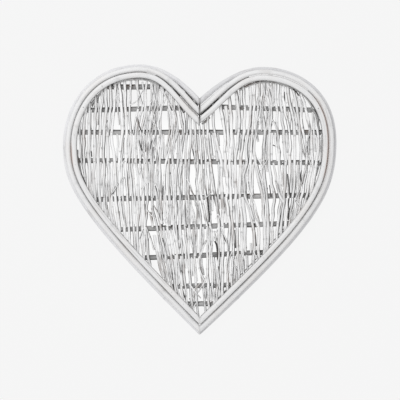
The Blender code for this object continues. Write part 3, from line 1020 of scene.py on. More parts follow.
# The thin twigs by piece. "bare" and "dark" at the start of a name choose the finish.
SPRIGS = {
    # The bare withies, left and right, are dark rods laid along the inner cane's edge and in the notch, as
    # painted shade of the canes
    "bare_withies_left": (
        between(2.4, (89, 108), (93, 102), (98, 96.5), (103, 91.5), (110, 87)),
        between(2.8, (113, 85.2), (121, 81.4), (130, 79.6), (140, 79), (149, 80), (157, 83.5)),
        on_top(1.9, (77.5, 150), (79, 163), (82, 176), (86, 187), (90, 194)),
        between(1.3, (94, 197), (97, 203.5), (101, 210), (106.5, 218)),
        between(1.2, (118, 230), (125, 238), (134, 248)),
    ),
    "bare_withies_right": (
        between(2.8, (240, 90), (250, 85), (260, 82.5), (271, 82), (283, 84), (292, 88)),
        on_top(1.8, (291, 86.8), (298, 91), (306, 97.8), (313, 107.5)),
        on_top(2.0, (311, 107.5), (316.5, 117.5), (319, 130)),
        between(1.3, (321.5, 140), (321, 152), (319, 165), (316, 176)),
        between(1.0, (283, 229), (273, 241), (262, 252.5), (250, 265), (238, 277.5)),
        between(1.2, (230, 286), (221, 295.5), (211, 306)),
        between(2.6, (202.5, 124.5), (206, 121), (209.5, 117.5)),
    ),
    "twigs_between_left_lobe": (
        between(1.8, (91.2, 110), (90.7, 125), (90.7, 140), (90.5, 152), (90.7, 165), (91.5, 184)),
        between(1.8, (116.5, 96), (118, 110), (119.2, 125)),
        between(2.0, (138, 109), (136, 120), (134.3, 128), (133, 135)),
        between(2.0, (137.5, 80), (138.3, 95), (138.5, 108)),
        between(2.0, (142.5, 82), (144.5, 97), (143.7, 107)),
        between(1.8, (147, 108), (146, 118), (144.3, 128), (143, 136)),
        on_top(1.3, (136.5, 140), (137.3, 155)),
        on_top(1.6, (169.5, 93), (171, 107)),
        between(1.9, (168, 109), (169, 122), (169.5, 133), (167, 145), (165.8, 159)),
        on_top(2.0, (183, 109), (184.5, 120), (185, 133)),
        on_top(1.6, (192.5, 134), (192.5, 149)),
        between(2.2, (128.5, 134), (128.3, 153)),
        between(2.0, (144.5, 134), (145, 152)),
        between(2.2, (163.5, 134), (163, 159)),
        between(1.7, (117.5, 134), (118.3, 145), (117, 152), (116.5, 161)),
    ),
    "twigs_between_left_middle": (
        between(1.8, (101, 162), (100.3, 175), (101, 183), (100, 197)),
        between(2.2, (112, 162), (111.5, 172), (112.5, 185), (112, 200), (113, 212), (115.5, 227)),
        between(1.6, (107, 205), (108.5, 217)),
        between(
            2.2, (123.5, 138), (122.5, 152), (121.7, 176), (123, 184), (122.5, 194), (124.5, 215),
            (126, 228),
        ),
        between(1.6, (119, 211), (120, 222), (121, 230)),
        between(1.4, (129, 162), (128.7, 178), (129.3, 198)),
        between(2.2, (131.5, 134), (132.3, 147), (132.7, 168), (133.5, 180), (135.3, 200), (135, 224)),
        between(
            2.2, (141.5, 133), (143, 147), (144, 158), (144.3, 180), (144, 208), (145, 235),
            (144.5, 252),
        ),
        on_top(1.4, (149, 162), (149.3, 183)),
        between(1.3, (160.5, 163), (161, 176), (162, 195)),
        between(1.4, (173.5, 167), (174, 184)),
        between(1.6, (127, 199), (127.3, 226)),
        between(1.2, (138.3, 199), (138.3, 215)),
        between(2.0, (153, 147), (153.5, 160), (153.5, 175), (153.5, 198)),
        on_top(2.4, (150, 212), (152, 219), (152.5, 227)),
        between(
            2.6, (162, 87), (162.5, 98), (160.5, 118), (160.5, 132), (161.5, 140), (159.5, 160),
            (160, 185), (162, 224),
        ),
        between(2.9, (169, 159), (169, 175), (169.4, 195), (170, 208), (169.5, 226)),
    ),
    "twigs_between_centre": (
        between(2.4, (179, 133), (178, 160), (176.7, 172), (176, 196), (177, 208), (176, 224), (179, 254)),
        between(1.0, (183, 162), (182, 176), (182.5, 190), (182.3, 205), (182, 224)),
        on_top(1.2, (187.5, 162), (187.3, 181)),
        on_top(1.4, (186.5, 200), (186.5, 226)),
        between(2.8, (207.5, 162), (208.8, 176), (209.5, 188), (209.5, 200), (210.5, 225)),
        between(2.2, (212.3, 196), (212.3, 211)),
        between(1.9, (218.5, 162), (219, 178), (218, 194), (219, 209)),
        between(1.8, (224, 162), (223.8, 177)),
        between(1.8, (204, 169), (203, 180), (202.5, 194)),
        between(1.6, (178.8, 212), (179.3, 230), (180, 248)),
        between(2.0, (187.5, 228), (189, 254)),
        between(2.8, (193.5, 227), (194.5, 240), (195, 256)),
        between(2.2, (196.8, 227), (196.5, 240), (195.5, 256)),
        on_top(1.7, (203.5, 227), (203, 240), (202, 252)),
        on_top(1.3, (209, 226), (209, 252)),
        on_top(2.0, (214, 231), (216.3, 241)),
        on_top(1.7, (191, 200), (191.5, 212), (193, 224)),
        on_top(2.0, (194.5, 201), (197.5, 210), (197, 224)),
        between(2.0, (224.5, 197), (225.5, 210), (226, 224)),
    ),
    "twigs_between_right_lobe": (
        between(3.0, (225.5, 106), (227, 118), (227.7, 130), (228, 141), (228.3, 152)),
        between(1.8, (240, 87), (239.7, 98), (239.8, 107)),
        between(1.8, (249, 85), (248.7, 107)),
        on_top(1.8, (271.5, 82), (272, 92), (273, 107)),
        between(2.2, (213, 133), (215, 145), (217.5, 161)),
        between(1.6, (248.5, 133), (248, 160)),
        between(1.6, (266.7, 111), (266.5, 135), (266.3, 160)),
        on_top(1.6, (261.7, 146), (261.3, 161)),
        between(2.4, (272.2, 133), (271.4, 147), (271.5, 161)),
        between(2.6, (275, 133), (276, 146), (277.7, 161)),
        between(2.0, (312.5, 112), (313.5, 129), (314.5, 139), (315.3, 152)),
        between(1.6, (321.5, 134), (320, 162)),
        between(2.0, (308.7, 139), (308.5, 155)),
        between(2.0, (261, 112), (261.8, 131)),
        between(2.4, (209.5, 133), (211, 145), (212.5, 159)),
        between(1.6, (218, 133), (219.5, 146)),
        between(1.6, (202.5, 134), (203.6, 147), (203.6, 160)),
        between(1.4, (197.5, 134), (199, 151)),
        between(2.0, (233, 133), (233.2, 147), (232.5, 161)),
        between(1.6, (240.5, 133), (240, 147), (239.5, 160)),
        between(2.2, (286, 133), (287, 153)),
        on_top(1.3, (299, 97), (301, 106), (301.5, 120)),
        on_top(1.5, (288, 110), (288.7, 119)),
    ),
    "twigs_between_right_middle": (
        between(1.5, (243.5, 162), (242.5, 178), (242.3, 193)),
        between(2.4, (253.7, 162), (252.5, 178), (252.5, 195)),
        on_top(1.4, (260.5, 159), (261.5, 170), (261.5, 181)),
        between(1.8, (266.5, 162), (267.3, 172)),
        between(1.4, (282.5, 162), (283, 187)),
        between(1.4, (297.5, 162), (297, 178), (296, 194)),
        between(2.0, (232, 162), (232.8, 188)),
        between(1.8, (292, 163), (292, 193)),
        between(1.6, (227, 195), (227.5, 209)),
        between(1.8, (233.5, 206), (236, 222)),
        between(1.4, (239.5, 205), (239.5, 222)),
        between(3.2, (242.5, 197), (244, 210), (245, 222), (244.8, 236), (245.5, 252)),
        between(2.0, (251, 243), (250.8, 253)),
    ),
    "twigs_between_lower": (
        between(2.8, (154, 235), (156, 246), (158, 258), (161, 270), (164, 277)),
        between(2.8, (157.3, 235), (158.7, 248), (160.7, 260), (163.5, 272), (167.5, 284)),
        between(2.0, (163.5, 227), (166, 242), (168.7, 256)),
        between(1.8, (171, 229), (172.5, 240), (174, 255)),
        between(2.3, (175.5, 255), (176.5, 270), (176.5, 284), (180, 297)),
        between(2.2, (181, 256), (181.5, 270), (183, 286)),
        between(2.4, (183, 235), (185.5, 250), (186.5, 268)),
        between(2.3, (235, 266), (234.3, 284)),
        between(2.0, (191.5, 257), (192.3, 276)),
        between(2.0, (214, 257), (215, 284)),
        between(1.8, (169, 259), (172, 280)),
        between(1.6, (178.5, 271), (178.5, 285)),
        between(1.4, (236.6, 268), (236.6, 281)),
        between(1.4, (194, 291), (194.3, 302)),
        between(1.6, (210.5, 286), (210.8, 302)),
        between(2.6, (246.5, 255), (247.5, 271)),
        on_top(1.8, (163.5, 262), (165.5, 271), (168.5, 283)),
        on_top(1.4, (201.5, 258), (204, 275)),
        on_top(1.5, (206, 287), (206, 299)),
    ),
    "left_lobe_shoots": (
        between(1.6, (98.5, 101), (98.8, 112), (98, 125)),
        on_top(1.3, (105.5, 122), (107.5, 128), (108, 135)),
        on_top(1.0, (110, 121), (108, 128)),
        between(1.6, (116.5, 85), (118.5, 95), (121, 105), (124, 115), (126.5, 122)),
        on_top(1.0, (143, 90), (139.5, 97), (136, 102), (131, 105)),
        on_top(1.5, (137, 117), (138.5, 128), (138, 137), (140, 148), (143, 157)),
        between(2.2, (80.5, 122), (80, 135), (81, 148), (81.5, 160), (84, 172)),
    ),
    "left_crowd": (
        on_top(1.6, (152, 81), (153, 92), (156, 104), (153, 116), (156, 130), (153, 143), (151, 156)),
        on_top(1.3, (157, 83), (155, 96), (152, 108), (155, 120), (152, 134), (150, 146), (148, 159)),
        on_top(1.5, (161, 87), (159, 100), (161, 112), (158, 124), (160, 136), (157, 148), (155, 161)),
        on_top(1.2, (151, 101), (149, 113), (151, 126), (148, 138), (147, 150), (145, 164)),
        on_top(1.3, (155, 149), (158, 158), (156, 169)),
        on_top(1.1, (166, 91), (165, 100), (162, 107)),
        on_top(1.6, (168, 95), (169, 105), (171, 113), (173, 122), (172, 132), (171, 145), (172, 159)),
        on_top(1.4, (163, 89), (167, 99), (172, 108), (176, 116), (178, 127), (177, 139)),
        on_top(1.5, (175, 102), (174, 112), (176, 122), (174, 134), (175, 146), (173, 158), (174, 169)),
        on_top(1.5, (181, 119), (183, 130), (181, 142), (182, 152), (181, 166)),
        on_top(1.5, (195, 140), (194, 150), (196, 163)),
    ),
    "right_lobe_shoots": (
        between(1.6, (236, 98), (236.6, 112), (236.4, 124), (235.5, 133)),
        on_top(1.5, (262.5, 83), (264, 93), (267.5, 102), (269.5, 110), (268, 120), (266, 131)),
        on_top(1.4, (270, 85), (267, 95), (264.5, 103), (266, 110), (268.5, 113)),
        on_top(1.6, (258, 85), (259, 96), (261, 104), (260, 114), (257, 121), (256, 131), (258, 142)),
        on_top(1.5, (272, 119), (275, 126), (277, 132), (278.5, 142), (279, 151)),
        between(1.8, (292.5, 99), (292, 110), (290.5, 120), (289.5, 131), (289, 146)),
        on_top(1.4, (293, 107), (295, 118), (297, 127), (298, 132)),
        on_top(0.8, (298, 121), (299.5, 126), (297, 129)),
        on_top(1.5, (303, 132), (301, 142), (303.5, 152), (306, 161)),
        between(1.6, (319, 115), (318, 130), (317.5, 142), (319, 148)),
        on_top(0.8, (286, 103.5), (289, 102), (292, 103)),
        on_top(1.5, (308, 117), (309, 128), (308, 138), (306, 148), (309, 158), (312, 169)),
        on_top(0.9, (257, 120), (259.5, 123), (258, 126)),
    ),
    "middle_left_shoots": (
        on_top(1.2, (119.5, 157), (123, 164)),
        on_top(1.0, (126.5, 156), (123, 163)),
        on_top(1.2, (132.5, 169), (135, 159)),
        on_top(1.0, (138.5, 169), (135, 161)),
        on_top(1.0, (141.5, 169), (139, 176)),
        on_top(1.4, (118.5, 183), (114.5, 190), (110.5, 195)),
        on_top(1.2, (126, 175), (122.5, 180), (121.5, 185)),
        on_top(1.7, (109.5, 179), (107, 184), (106.5, 195), (106.5, 209)),
        on_top(1.3, (146.5, 183), (143, 189), (141, 197)),
        on_top(1.4, (155, 183), (158, 190), (159, 201)),
        on_top(1.1, (160.5, 186), (158, 191)),
        on_top(1.4, (146.5, 209), (151, 215), (156.5, 218.5)),
        on_top(1.4, (153, 204), (158, 214), (160.5, 223)),
        on_top(1.2, (158, 199), (160, 213)),
        on_top(1.5, (164, 184), (166, 200), (168, 212), (163, 223)),
        on_top(1.3, (178, 185), (180, 194), (181, 201)),
        on_top(1.5, (187, 179), (191, 188), (194, 197), (196, 206)),
        on_top(1.5, (190, 201), (194, 215), (196, 229)),
        on_top(1.4, (194, 160), (196, 172), (197, 181)),
        on_top(1.7, (146.5, 227), (149.5, 235), (152, 243), (154.5, 250)),
        on_top(1.3, (143, 229), (139.5, 239)),
    ),
    "middle_right_shoots": (
        on_top(1.4, (211.5, 158.5), (214, 156), (216.5, 158.5)),
        on_top(1.4, (202.5, 198.5), (208, 196), (212, 192), (214, 187)),
        on_top(1.2, (215.5, 219), (218, 214), (220.5, 219)),
        on_top(1.8, (247, 164), (243.5, 178), (245, 195), (250, 208), (254, 223)),
        on_top(1.6, (250, 162), (247, 175), (248.5, 190), (254, 203), (259, 222)),
        on_top(1.7, (257, 164), (260, 175), (262.5, 185), (264, 195), (263, 211)),
        on_top(1.3, (257.5, 158), (262, 166), (263, 173)),
        on_top(1.3, (268.5, 157), (264, 165), (260.5, 171)),
        on_top(2.4, (273, 163), (275, 174), (277.3, 187), (280, 197), (283, 202)),
        on_top(1.7, (307, 163), (303.5, 176), (299, 190), (295, 200), (291, 217)),
        between(1.4, (301, 169), (301, 183)),
        on_top(1.5, (295.5, 200.5), (302.5, 208.5)),
        between(1.6, (294, 204), (292, 221)),
    ),
    "lower_shoots": (
        on_top(1.6, (218, 227), (214, 236), (211, 246), (209, 259)),
        on_top(1.5, (220.5, 227), (226, 240), (228, 253)),
        on_top(1.8, (206, 240), (202, 250), (198, 262), (201, 272), (205, 282)),
        on_top(1.6, (216, 263), (218, 270), (219, 280), (219.5, 296)),
        on_top(1.6, (232, 251), (229, 262), (229, 273)),
        on_top(1.4, (237, 254), (235, 260), (235, 266), (238, 269)),
        on_top(1.5, (240, 254), (241, 265), (240, 276)),
        on_top(1.4, (244, 249), (243, 260), (244, 273)),
        on_top(1.5, (253, 249), (256, 256), (259, 261)),
        on_top(1.7, (163, 239), (165, 252), (165, 263)),
        on_top(1.3, (195, 267), (198, 281)),
        on_top(1.4, (189.5, 284), (195, 291), (200.5, 298)),
        on_top(1.3, (199.5, 283), (195, 290), (192, 299)),
        on_top(1.5, (206, 276), (203, 284), (198, 292)),
        on_top(1.6, (213, 289), (215, 301)),
        on_top(1.4, (197, 301), (194, 308), (193, 315)),
    ),
    # The dark shoots are unwashed bark and partly painted shadow of the gaps between twigs
    "dark_shoots_left": (
        on_top(1.0, (138.5, 120), (140, 127), (141.5, 132)),
        on_top(0.7, (139, 140), (141, 146), (143.5, 153)),
        between(1.2, (144.2, 116), (144.3, 130)),
        on_top(1.3, (112.5, 194), (114.5, 190), (116.5, 185)),
        on_top(1.3, (121, 183), (123, 179), (125, 176)),
        between(1.3, (106.5, 185), (106.3, 198)),
        on_top(1.0, (155, 186), (157, 192), (158.5, 198)),
        on_top(0.9, (180, 105), (183, 113), (185, 111), (184, 109)),
        between(1.3, (163.8, 181), (163, 196)),
        between(1.4, (192.5, 144), (193.5, 153), (195, 160)),
        between(1.3, (147, 153), (147.5, 168)),
        between(1.0, (107, 120), (108, 130)),
        on_top(1.0, (91, 151), (92.5, 157)),
        between(1.7, (165, 88), (163.5, 97)),
        between(1.3, (180, 115), (182, 128)),
        on_top(1.5, (78, 157), (80, 168), (83, 178), (86, 186)),
        between(1.3, (94.5, 100), (92.5, 107)),
        between(1.2, (98.5, 97), (97.5, 103)),
    ),
    "dark_shoots_middle": (
        on_top(1.4, (207, 196), (208.3, 205), (209, 213), (209.3, 222)),
        between(1.5, (205, 181), (206, 190), (207, 196)),
        between(1.6, (213.5, 195), (215.5, 203), (218, 211)),
        between(1.5, (223.5, 192), (224, 200), (225, 207)),
        between(1.3, (231.8, 193), (232, 203), (232.3, 218)),
        between(1.3, (159.5, 206), (161, 216), (162.5, 226)),
        on_top(1.0, (163, 238), (165, 252), (166, 256)),
        between(1.3, (186, 240), (186.5, 248), (187.5, 256)),
        on_top(1.0, (222.5, 231), (225, 240), (228, 247)),
        on_top(1.4, (216.8, 243), (217.5, 254)),
        between(1.6, (254, 223), (255, 235), (256, 246)),
        between(1.0, (235, 230), (235.6, 248)),
        between(1.3, (178, 226), (179, 240)),
        between(1.5, (190, 298), (192.5, 306), (194, 313)),
        between(1.6, (206, 287), (206.3, 297)),
        on_top(1.0, (218, 264), (219, 275), (219, 292)),
        between(1.4, (180.5, 283), (183, 291), (186, 300)),
        between(1.3, (170, 281), (172, 288)),
        on_top(1.2, (234.5, 258), (234, 263), (236.5, 268)),
    ),
    "dark_shoots_right": (
        on_top(1.2, (287.8, 174), (288.7, 190), (289, 197)),
        between(1.1, (247.5, 144), (248.6, 156), (249, 162)),
        on_top(1.1, (293, 117), (295, 121), (298, 127)),
        on_top(1.3, (301, 170), (300.5, 178), (302, 184)),
        between(1.5, (309, 136), (308, 149)),
        between(1.3, (265, 84), (265.5, 96)),
        between(1.3, (222.5, 164), (223.5, 176)),
        between(1.3, (228.5, 116), (229, 132)),
        between(1.3, (316.5, 134), (318.5, 145), (321, 153)),
        between(1.1, (269.5, 185), (271, 197)),
        between(1.2, (282.5, 163), (283, 174)),
        between(1.4, (284, 92), (284.5, 112)),
        on_top(1.3, (290.5, 88), (295.5, 91.5), (300, 98)),
        on_top(1.0, (313.5, 109), (317, 116), (318.5, 126)),
        on_top(1.1, (288.5, 196), (288.5, 220)),
        on_top(1.5, (214.5, 241), (217, 247), (217.5, 261)),
        on_top(0.9, (273, 145), (276.5, 147)),
    ),
}


class Strip(NamedTuple):
    """A strip of wood in the gap between two canes."""

    half: str
    outer: str
    inner: str
    height: float
    radius: float
    start: float  # where it starts and ends, by the way along the canes from the notch
    end: float
    bare: bool
    splinters: int


# A bare strip is dark, as painted shade in the gap between two canes; a washed strip is pale
WASHED = False
BARE = True

NOTCH_STRIPS = (
    Strip("left", "outer", "middle", 0.0080, 0.0014, 0.0, 0.062, BARE, 8),
    Strip("right", "outer", "middle", 0.0085, 0.0016, 0.0, 0.062, WASHED, 0),
    Strip("left", "middle", "inner", 0.0125, 0.0020, 0.0, 0.044, WASHED, 0),
    Strip("left", "middle", "inner", 0.0105, 0.0015, 0.044, 0.105, BARE, 3),
    Strip("right", "middle", "inner", 0.0105, 0.0015, 0.0, 0.105, BARE, 9),
    Strip("left", "middle", "inner", 0.0150, 0.0010, 0.130, 0.300, BARE, 9),
    Strip("right", "middle", "inner", 0.0185, 0.0013, 0.110, 0.230, WASHED, 0),
    Strip("left", "middle", "inner", 0.0185, 0.0013, 0.106, 0.126, WASHED, 0),
)
STRIP_PAST_SEAM = 0.003
STRIP_STEP = 0.0018
STRIP_SIDES = 10
CANE_SEARCH_STEP = 0.0015
SPLINTER_RADIUS = 0.0005
SPLINTER_LENGTH = 0.0045
SPLINTER_LENGTHS = (0.6, 1.2)  # as shares of that
SPLINTER_PLACES = (0.05, 0.9)  # as shares of the strip's length
SPLINTER_SLANT = 0.25
SPLINTER_RINGS = 5
SPLINTER_SIDES = 8

# The dark strip behind the seam of the canes at the notch, painted shade in the seam's gap
SEAM_STRIP_HEIGHT = 0.007
SEAM_STRIP_RADIUS = 0.0015
SEAM_STRIP_PX = ((199.65, 102), (199.65, 122))


def strip_line(strip):
    """The line midway between two canes, from the notch along the lobe."""
    outer_line, inner_line = (
        smooth_line(cane_centres(strip.half, cane), CANE_SEARCH_STEP)
        for cane in (strip.outer, strip.inner)
    )
    from_notch = running_lengths(outer_line)
    outer_line = outer_line[(from_notch >= strip.start) & (from_notch < strip.end)]
    apart = np.linalg.norm(outer_line[:, None, :2] - inner_line[None, :, :2], axis=2)
    line = (outer_line + inner_line[apart.argmin(axis=1)]) / 2
    line[:, 2] = strip.height
    if strip.start == 0.0:
        line = np.vstack((line[0] + unit(line[0] - line[1]) * STRIP_PAST_SEAM, line))
    return evenly_spaced(line, STRIP_STEP)


def strip_splinters(rng, strip, line):
    """Short pale splinters that lie on a strip."""
    above = line + (0.0, 0.0, strip.radius + 0.3 * SPLINTER_RADIUS)
    splinters = []
    places = rng.uniform(*SPLINTER_PLACES, strip.splinters) * len(above)
    for place in places.astype(int):
        along = unit(above[place + 1] - above[place])
        aside = np.cross((0.0, 0.0, 1.0), along) * rng.normal(0.0, SPLINTER_SLANT)
        length = SPLINTER_LENGTH * rng.uniform(*SPLINTER_LENGTHS)
        steps = np.linspace(0.0, length, SPLINTER_RINGS)
        splinter = above[place] + (along + aside) * steps[:, None]
        rod = make_rod(rng, splinter, SPLINTER_RADIUS, SPLINTER_SIDES, TWIG_BARK, no_shelter)
        splinters.append(rod)
    return splinters


def seam_strip(rng):
    ends = [(*from_picture(*place), SEAM_STRIP_HEIGHT) for place in SEAM_STRIP_PX]
    line = evenly_spaced(np.array(ends), STRIP_STEP)
    return make_rod(rng, line, SEAM_STRIP_RADIUS, STRIP_SIDES, BAR_BARK, full_shelter)


def add_notch_strips():
    """One piece of the bare strips, which are dark as painted shade of the gaps, and one of the washed
    strips and the splinters.
    """
    bare = []
    washed = []
    for number, strip in enumerate(NOTCH_STRIPS):
        rng = seeded(strip.half, strip.outer, strip.inner, number)
        line = strip_line(strip)
        rods, shelter = (bare, full_shelter) if strip.bare else (washed, no_shelter)
        rods.append(make_rod(rng, line, strip.radius, STRIP_SIDES, BAR_BARK, shelter))
        washed += strip_splinters(rng, strip, line)
    bare.append(seam_strip(seeded("seam strip")))
    add_piece("bare_shadow_strips_at_notch", rods_mesh("bare_shadow_strips", bare), wood(BARE_SHADOW_FINISH))
    add_piece("washed_strips_at_notch", rods_mesh("washed_strips", washed), wood(TWIG_FINISH))


OVER_HEIGHT = 0.0166
OVER_SPREAD = 0.0007
TUCKED_HEIGHT = 0.0133
GAP_OVER_BARS = 0.0002
OVER_STRAY = 0.0008
BETWEEN_STRAY = 0.0004
STRAY_SPACING = 0.012
TUCK_LENGTH = 0.007  # from a shoot's end to where it has risen over the twigs
THIN_TWIG_TAPER = 0.3
OVER_WORN = 0.6  # shoots in front are rubbed, so more bark shows on them


def bar_top():
    _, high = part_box(CROSSBARS[0])
    return high[2]


def sprig_line(rng, places, radius, over, step):
    """A sprig's line: over the main twigs with its ends tucked in, or between them."""
    flat = [from_picture(*place) for place in places]
    on_bars = bar_top() + GAP_OVER_BARS + radius
    height = OVER_HEIGHT + rng.uniform(-1, 1) * OVER_SPREAD if over else on_bars
    points = [(x, y, height) for x, y in flat]
    line = smooth_line(points, step)
    lengths = running_lengths(line)
    if over:
        ends = hump(lengths, TUCK_LENGTH) + hump(lengths[-1] - lengths, TUCK_LENGTH)
        line[:, 2] += (TUCKED_HEIGHT - height) * np.clip(ends, 0.0, 1.0)
    stray = OVER_STRAY if over else BETWEEN_STRAY
    line[:, 0] += stray * wandering(rng, lengths, STRAY_SPACING)
    return line


# The finishes of the pieces whose names start with these words. The others are washed.
SPRIG_FINISHES = {"bare": BARE_SHADOW_FINISH, "dark": DARK_FINISH}


def add_sprigs(name, sprigs):
    """One piece of several thin twigs, forks or shoots."""
    sizes = bpy.context.scene.twig_heart_sizes
    rng = seeded(name)
    rods = []
    for width_px, over, places in sprigs:
        radius = width_px * metres_per_pixel() / 2
        line = sprig_line(rng, places, radius, over, sizes.twig_ring_step)
        radius = tapered(rng, running_lengths(line), radius, THIN_TWIG_TAPER)
        rod = make_rod(rng, line, radius, sizes.thin_twig_sides, TWIG_BARK, twig_shelter)
        least_worn = OVER_WORN if over else 0.0
        rods.append(rod._replace(worn=np.maximum(worn_share(rod.points), least_worn)))
    finish = SPRIG_FINISHES.get(name.split("_")[0], THIN_TWIG_FINISH)
    add_piece(name, rods_mesh(name, rods), wood(finish))


HEAD_SIDES = 12
HEAD_RINGS = 6
HEAD_FLATNESS = 0.45
HEAD_SUNK = 0.0002
NAIL_WASHED = 0.85
PIN_WASHED = 0.2
NAILED_AFTER = 8  # of this many parts of a cane, the first, beside the notch, has no nail
PINNED_EVERY = 3  # each third crossing of a main twig and a crossbar shows a pin


def on_cane(half, cane, height):
    """The top of a cane where it crosses this height of the heart, on its outer side."""
    centres = cane_centres(half, cane)
    side = centres[len(centres) // NAILED_AFTER :]
    nearest = side[np.argmin(np.abs(side[:, 1] - height))]
    radius = bpy.context.scene.twig_heart_sizes.cane_radius
    return (nearest[0], nearest[1], nearest[2] + radius)


def nail_places():
    """A nail in the inner cane at both ends of each crossbar."""
    places = []
    for node in CROSSBARS:
        centres, _ = ring_centres(node, BAR_CORNERS, lambda point: point[0])
        for end in (centres[0], centres[-1]):
            half = "left" if end[0] < 0 else "right"
            places.append(on_cane(half, "inner", end[1]))
    return places


def pin_places():
    """Pins on top of main twigs where they cross crossbars."""
    places = []
    for number, twig in enumerate(TWIGS):
        low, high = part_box(twig)
        centres, _ = ring_centres(twig, TWIG_CORNERS, lambda point: -point[1])
        for step, node in enumerate(CROSSBARS):
            bar_low, bar_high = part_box(node)
            height = (bar_low[1] + bar_high[1]) / 2
            beside = bar_low[0] < centres[:, 0].mean() < bar_high[0]
            crossed = beside and low[1] < height < high[1]
            if crossed and (number + step) % PINNED_EVERY == 0:
                across = np.interp(-height, -centres[:, 1], centres[:, 0])
                places.append((across, height, high[2]))
    return places


def add_heads(name, places, radius, washed):
    """One piece of low domed heads, each standing slightly proud of the wood."""
    bm = bmesh.new()
    for place in places:
        made = bmesh.ops.create_uvsphere(
            bm, u_segments=HEAD_SIDES, v_segments=HEAD_RINGS, radius=radius
        )
        bmesh.ops.scale(bm, vec=(1.0, 1.0, HEAD_FLATNESS), verts=made["verts"])
        centre = Vector(place) - Vector((0.0, 0.0, HEAD_SUNK))
        bmesh.ops.translate(bm, vec=centre, verts=made["verts"])
    mesh = bpy.data.meshes.new(name)
    bm.to_mesh(mesh)
    bm.free()
    mesh.shade_smooth()
    add_piece(name, mesh, nail_steel(f"steel of {name}", washed))


class HeartOperator(bpy.types.Operator):
    """What the operators share."""

    bl_options = {"REGISTER", "UNDO"}


class TWIGHEART_OT_canes(HeartOperator):
    """Bent canes of the frame, each half cut to meet the other at the notch and the tip"""

    bl_idname = "twig_heart.canes"
    bl_label = "Bent canes"

    def execute(self, context):
        finishes = {"outer": OUTER_FINISH, "back": BACK_FINISH}
        for half in HALVES:
            for cane in CANES:
                add_cane(half, cane, finishes.get(cane, CANE_FINISH))
        return {"FINISHED"}


class TWIGHEART_OT_crossbars(HeartOperator):
    """Rough crossbars behind the twigs"""

    bl_idname = "twig_heart.crossbars"
    bl_label = "Crossbars"

    def execute(self, context):
        for node in CROSSBARS:
            add_crossbar(node)
        return {"FINISHED"}


class TWIGHEART_OT_main_twigs(HeartOperator):
    """Upright main twigs with bark, knuckles and buds"""

    bl_idname = "twig_heart.main_twigs"
    bl_label = "Main twigs"

    def execute(self, context):
        for node in TWIGS:
            add_main_twig(node)
        return {"FINISHED"}


class TWIGHEART_OT_thin_twigs(HeartOperator):
    """Thin twigs, forks and shoots between and over the main twigs"""

    bl_idname = "twig_heart.thin_twigs"
    bl_label = "Thin twigs and shoots"

    def execute(self, context):
        for name, sprigs in SPRIGS.items():
            add_sprigs(name, sprigs)
        add_notch_strips()
        return {"FINISHED"}


class TWIGHEART_OT_nails(HeartOperator):
    """Heads of the nails in the canes and of the pins in the twigs"""

    bl_idname = "twig_heart.nails"
    bl_label = "Nails and pins"

    def execute(self, context):
        sizes = context.scene.twig_heart_sizes
        add_heads("nail_heads", nail_places(), sizes.nail_radius, NAIL_WASHED)
        add_heads("pin_heads", pin_places(), sizes.pin_radius, PIN_WASHED)
        return {"FINISHED"}


FLOOR_SIZE = 6.0
FLOOR_SQUARES = 8
POOL_TO_TIP = 0.95
POOL_TO_NOTCH = 1.25
POOL_FADES_FROM = 0.7  # the share of its reach over which the pool of light is full
LAMP_PLACE = (-1.8, 1.8, 3.0)
CAMERA_REACH = 20.0
FRAMED_HEIGHT = 0.005  # the height above the floor at which the picture's width is framed


def add_floor(settings):
    """A pale floor that glows, a little more behind the heart than around it."""
    mesh = bpy.data.meshes.new("pale_floor")
    bm = bmesh.new()
    squares = FLOOR_SQUARES
    bmesh.ops.create_grid(bm, x_segments=squares, y_segments=squares, size=FLOOR_SIZE / 2)
    bm.to_mesh(mesh)
    bm.free()
    floor = bpy.data.objects.new("pale_floor", mesh)
    bpy.context.scene.collection.objects.link(floor)
    wires = Wires("pale floor")
    place = wires.node("ShaderNodeNewGeometry", {}, {}, "Position")
    aside = wires.node("ShaderNodeSeparateXYZ", {}, {0: place}, "X").maths("ABSOLUTE")
    up = wires.node("ShaderNodeSeparateXYZ", {}, {0: place}, "Y")
    towards_tip = aside + (up * -POOL_TO_TIP).maths("MAXIMUM", 0.0)
    away = towards_tip.maths("MAXIMUM", up * POOL_TO_NOTCH)
    reach = settings.glow_radius
    pool = 1.0 - away.between(reach * POOL_FADES_FROM, reach)
    mesh.materials.append(
        wires.finish(
            Base_Color=opaque(settings.floor_colour),
            Roughness=0.9,
            Specular_IOR_Level=0.0,
            Emission_Color=wires.blend(pool, opaque(settings.floor_edge), (1.0, 1.0, 1.0, 1.0)),
            Emission_Strength=settings.floor_glow,
        )
    )


def add_sky(settings):
    world = bpy.data.worlds.new("even sky")
    world.use_nodes = True
    background = world.node_tree.nodes["Background"]
    background.inputs["Color"].default_value = (1.0, 1.0, 1.0, 1.0)
    background.inputs["Strength"].default_value = settings.sky_strength
    bpy.context.scene.world = world


def add_lamp(settings):
    """A large soft lamp above the heart's upper left."""
    lamp = bpy.data.lights.new("soft_lamp", "AREA")
    lamp.energy = settings.lamp_power
    lamp.size = settings.lamp_size
    holder = bpy.data.objects.new("soft_lamp", lamp)
    holder.location = LAMP_PLACE
    holder.rotation_euler = (-Vector(LAMP_PLACE)).to_track_quat("-Z", "Y").to_euler()
    bpy.context.scene.collection.objects.link(holder)


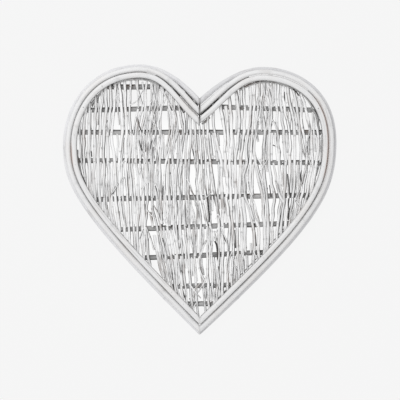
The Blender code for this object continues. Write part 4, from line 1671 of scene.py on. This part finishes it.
def add_camera(settings):
    """Straight above the heart, as far off as the lens needs to frame the picture."""
    camera = bpy.data.cameras.new("camera")
    camera.sensor_width = SENSOR_WIDTH
    camera.lens = settings.lens
    camera.clip_end = CAMERA_REACH
    holder = bpy.data.objects.new("camera", camera)
    picture_width = PICTURE_SIZE * metres_per_pixel()
    x, y = from_picture(PICTURE_SIZE / 2, PICTURE_SIZE / 2)
    away = picture_width * settings.lens / SENSOR_WIDTH
    holder.location = (x, y, away + FRAMED_HEIGHT)
    bpy.context.scene.collection.objects.link(holder)
    bpy.context.scene.camera = holder


class TWIGHEART_OT_stage(HeartOperator):
    """Pale floor, soft light and the camera straight above"""

    bl_idname = "twig_heart.stage"
    bl_label = "Stage"

    def execute(self, context):
        settings = context.scene.twig_heart_stage
        add_floor(settings)
        add_sky(settings)
        add_lamp(settings)
        add_camera(settings)
        context.scene.view_settings.view_transform = "Standard"
        return {"FINISHED"}


OPERATORS = (
    TWIGHEART_OT_canes,
    TWIGHEART_OT_crossbars,
    TWIGHEART_OT_main_twigs,
    TWIGHEART_OT_thin_twigs,
    TWIGHEART_OT_nails,
    TWIGHEART_OT_stage,
)


class TWIGHEART_PT_pieces(bpy.types.Panel):
    """The heart's pieces, in the order in which they are built"""

    bl_label = "Twig heart"
    bl_idname = "TWIGHEART_PT_pieces"
    bl_space_type = "VIEW_3D"
    bl_region_type = "UI"
    bl_category = "Twig heart"

    def draw(self, context):
        for operator in OPERATORS:
            self.layout.operator(operator.bl_idname)


SETTINGS = {
    "twig_heart_sizes": HeartSizes,
    "twig_heart_colours": WoodColours,
    "twig_heart_stage": StageSettings,
}
CLASSES = (*SETTINGS.values(), *OPERATORS, TWIGHEART_PT_pieces)


def register():
    for each in CLASSES:
        bpy.utils.register_class(each)
    for name, group in SETTINGS.items():
        setattr(bpy.types.Scene, name, bpy.props.PointerProperty(type=group))


def unregister():
    for name in SETTINGS:
        delattr(bpy.types.Scene, name)
    for each in reversed(CLASSES):
        bpy.utils.unregister_class(each)


def main():
    register()
    for operator in OPERATORS:
        group, name = operator.bl_idname.split(".")
        getattr(getattr(bpy.ops, group), name)()


if __name__ == "__main__":
    main()
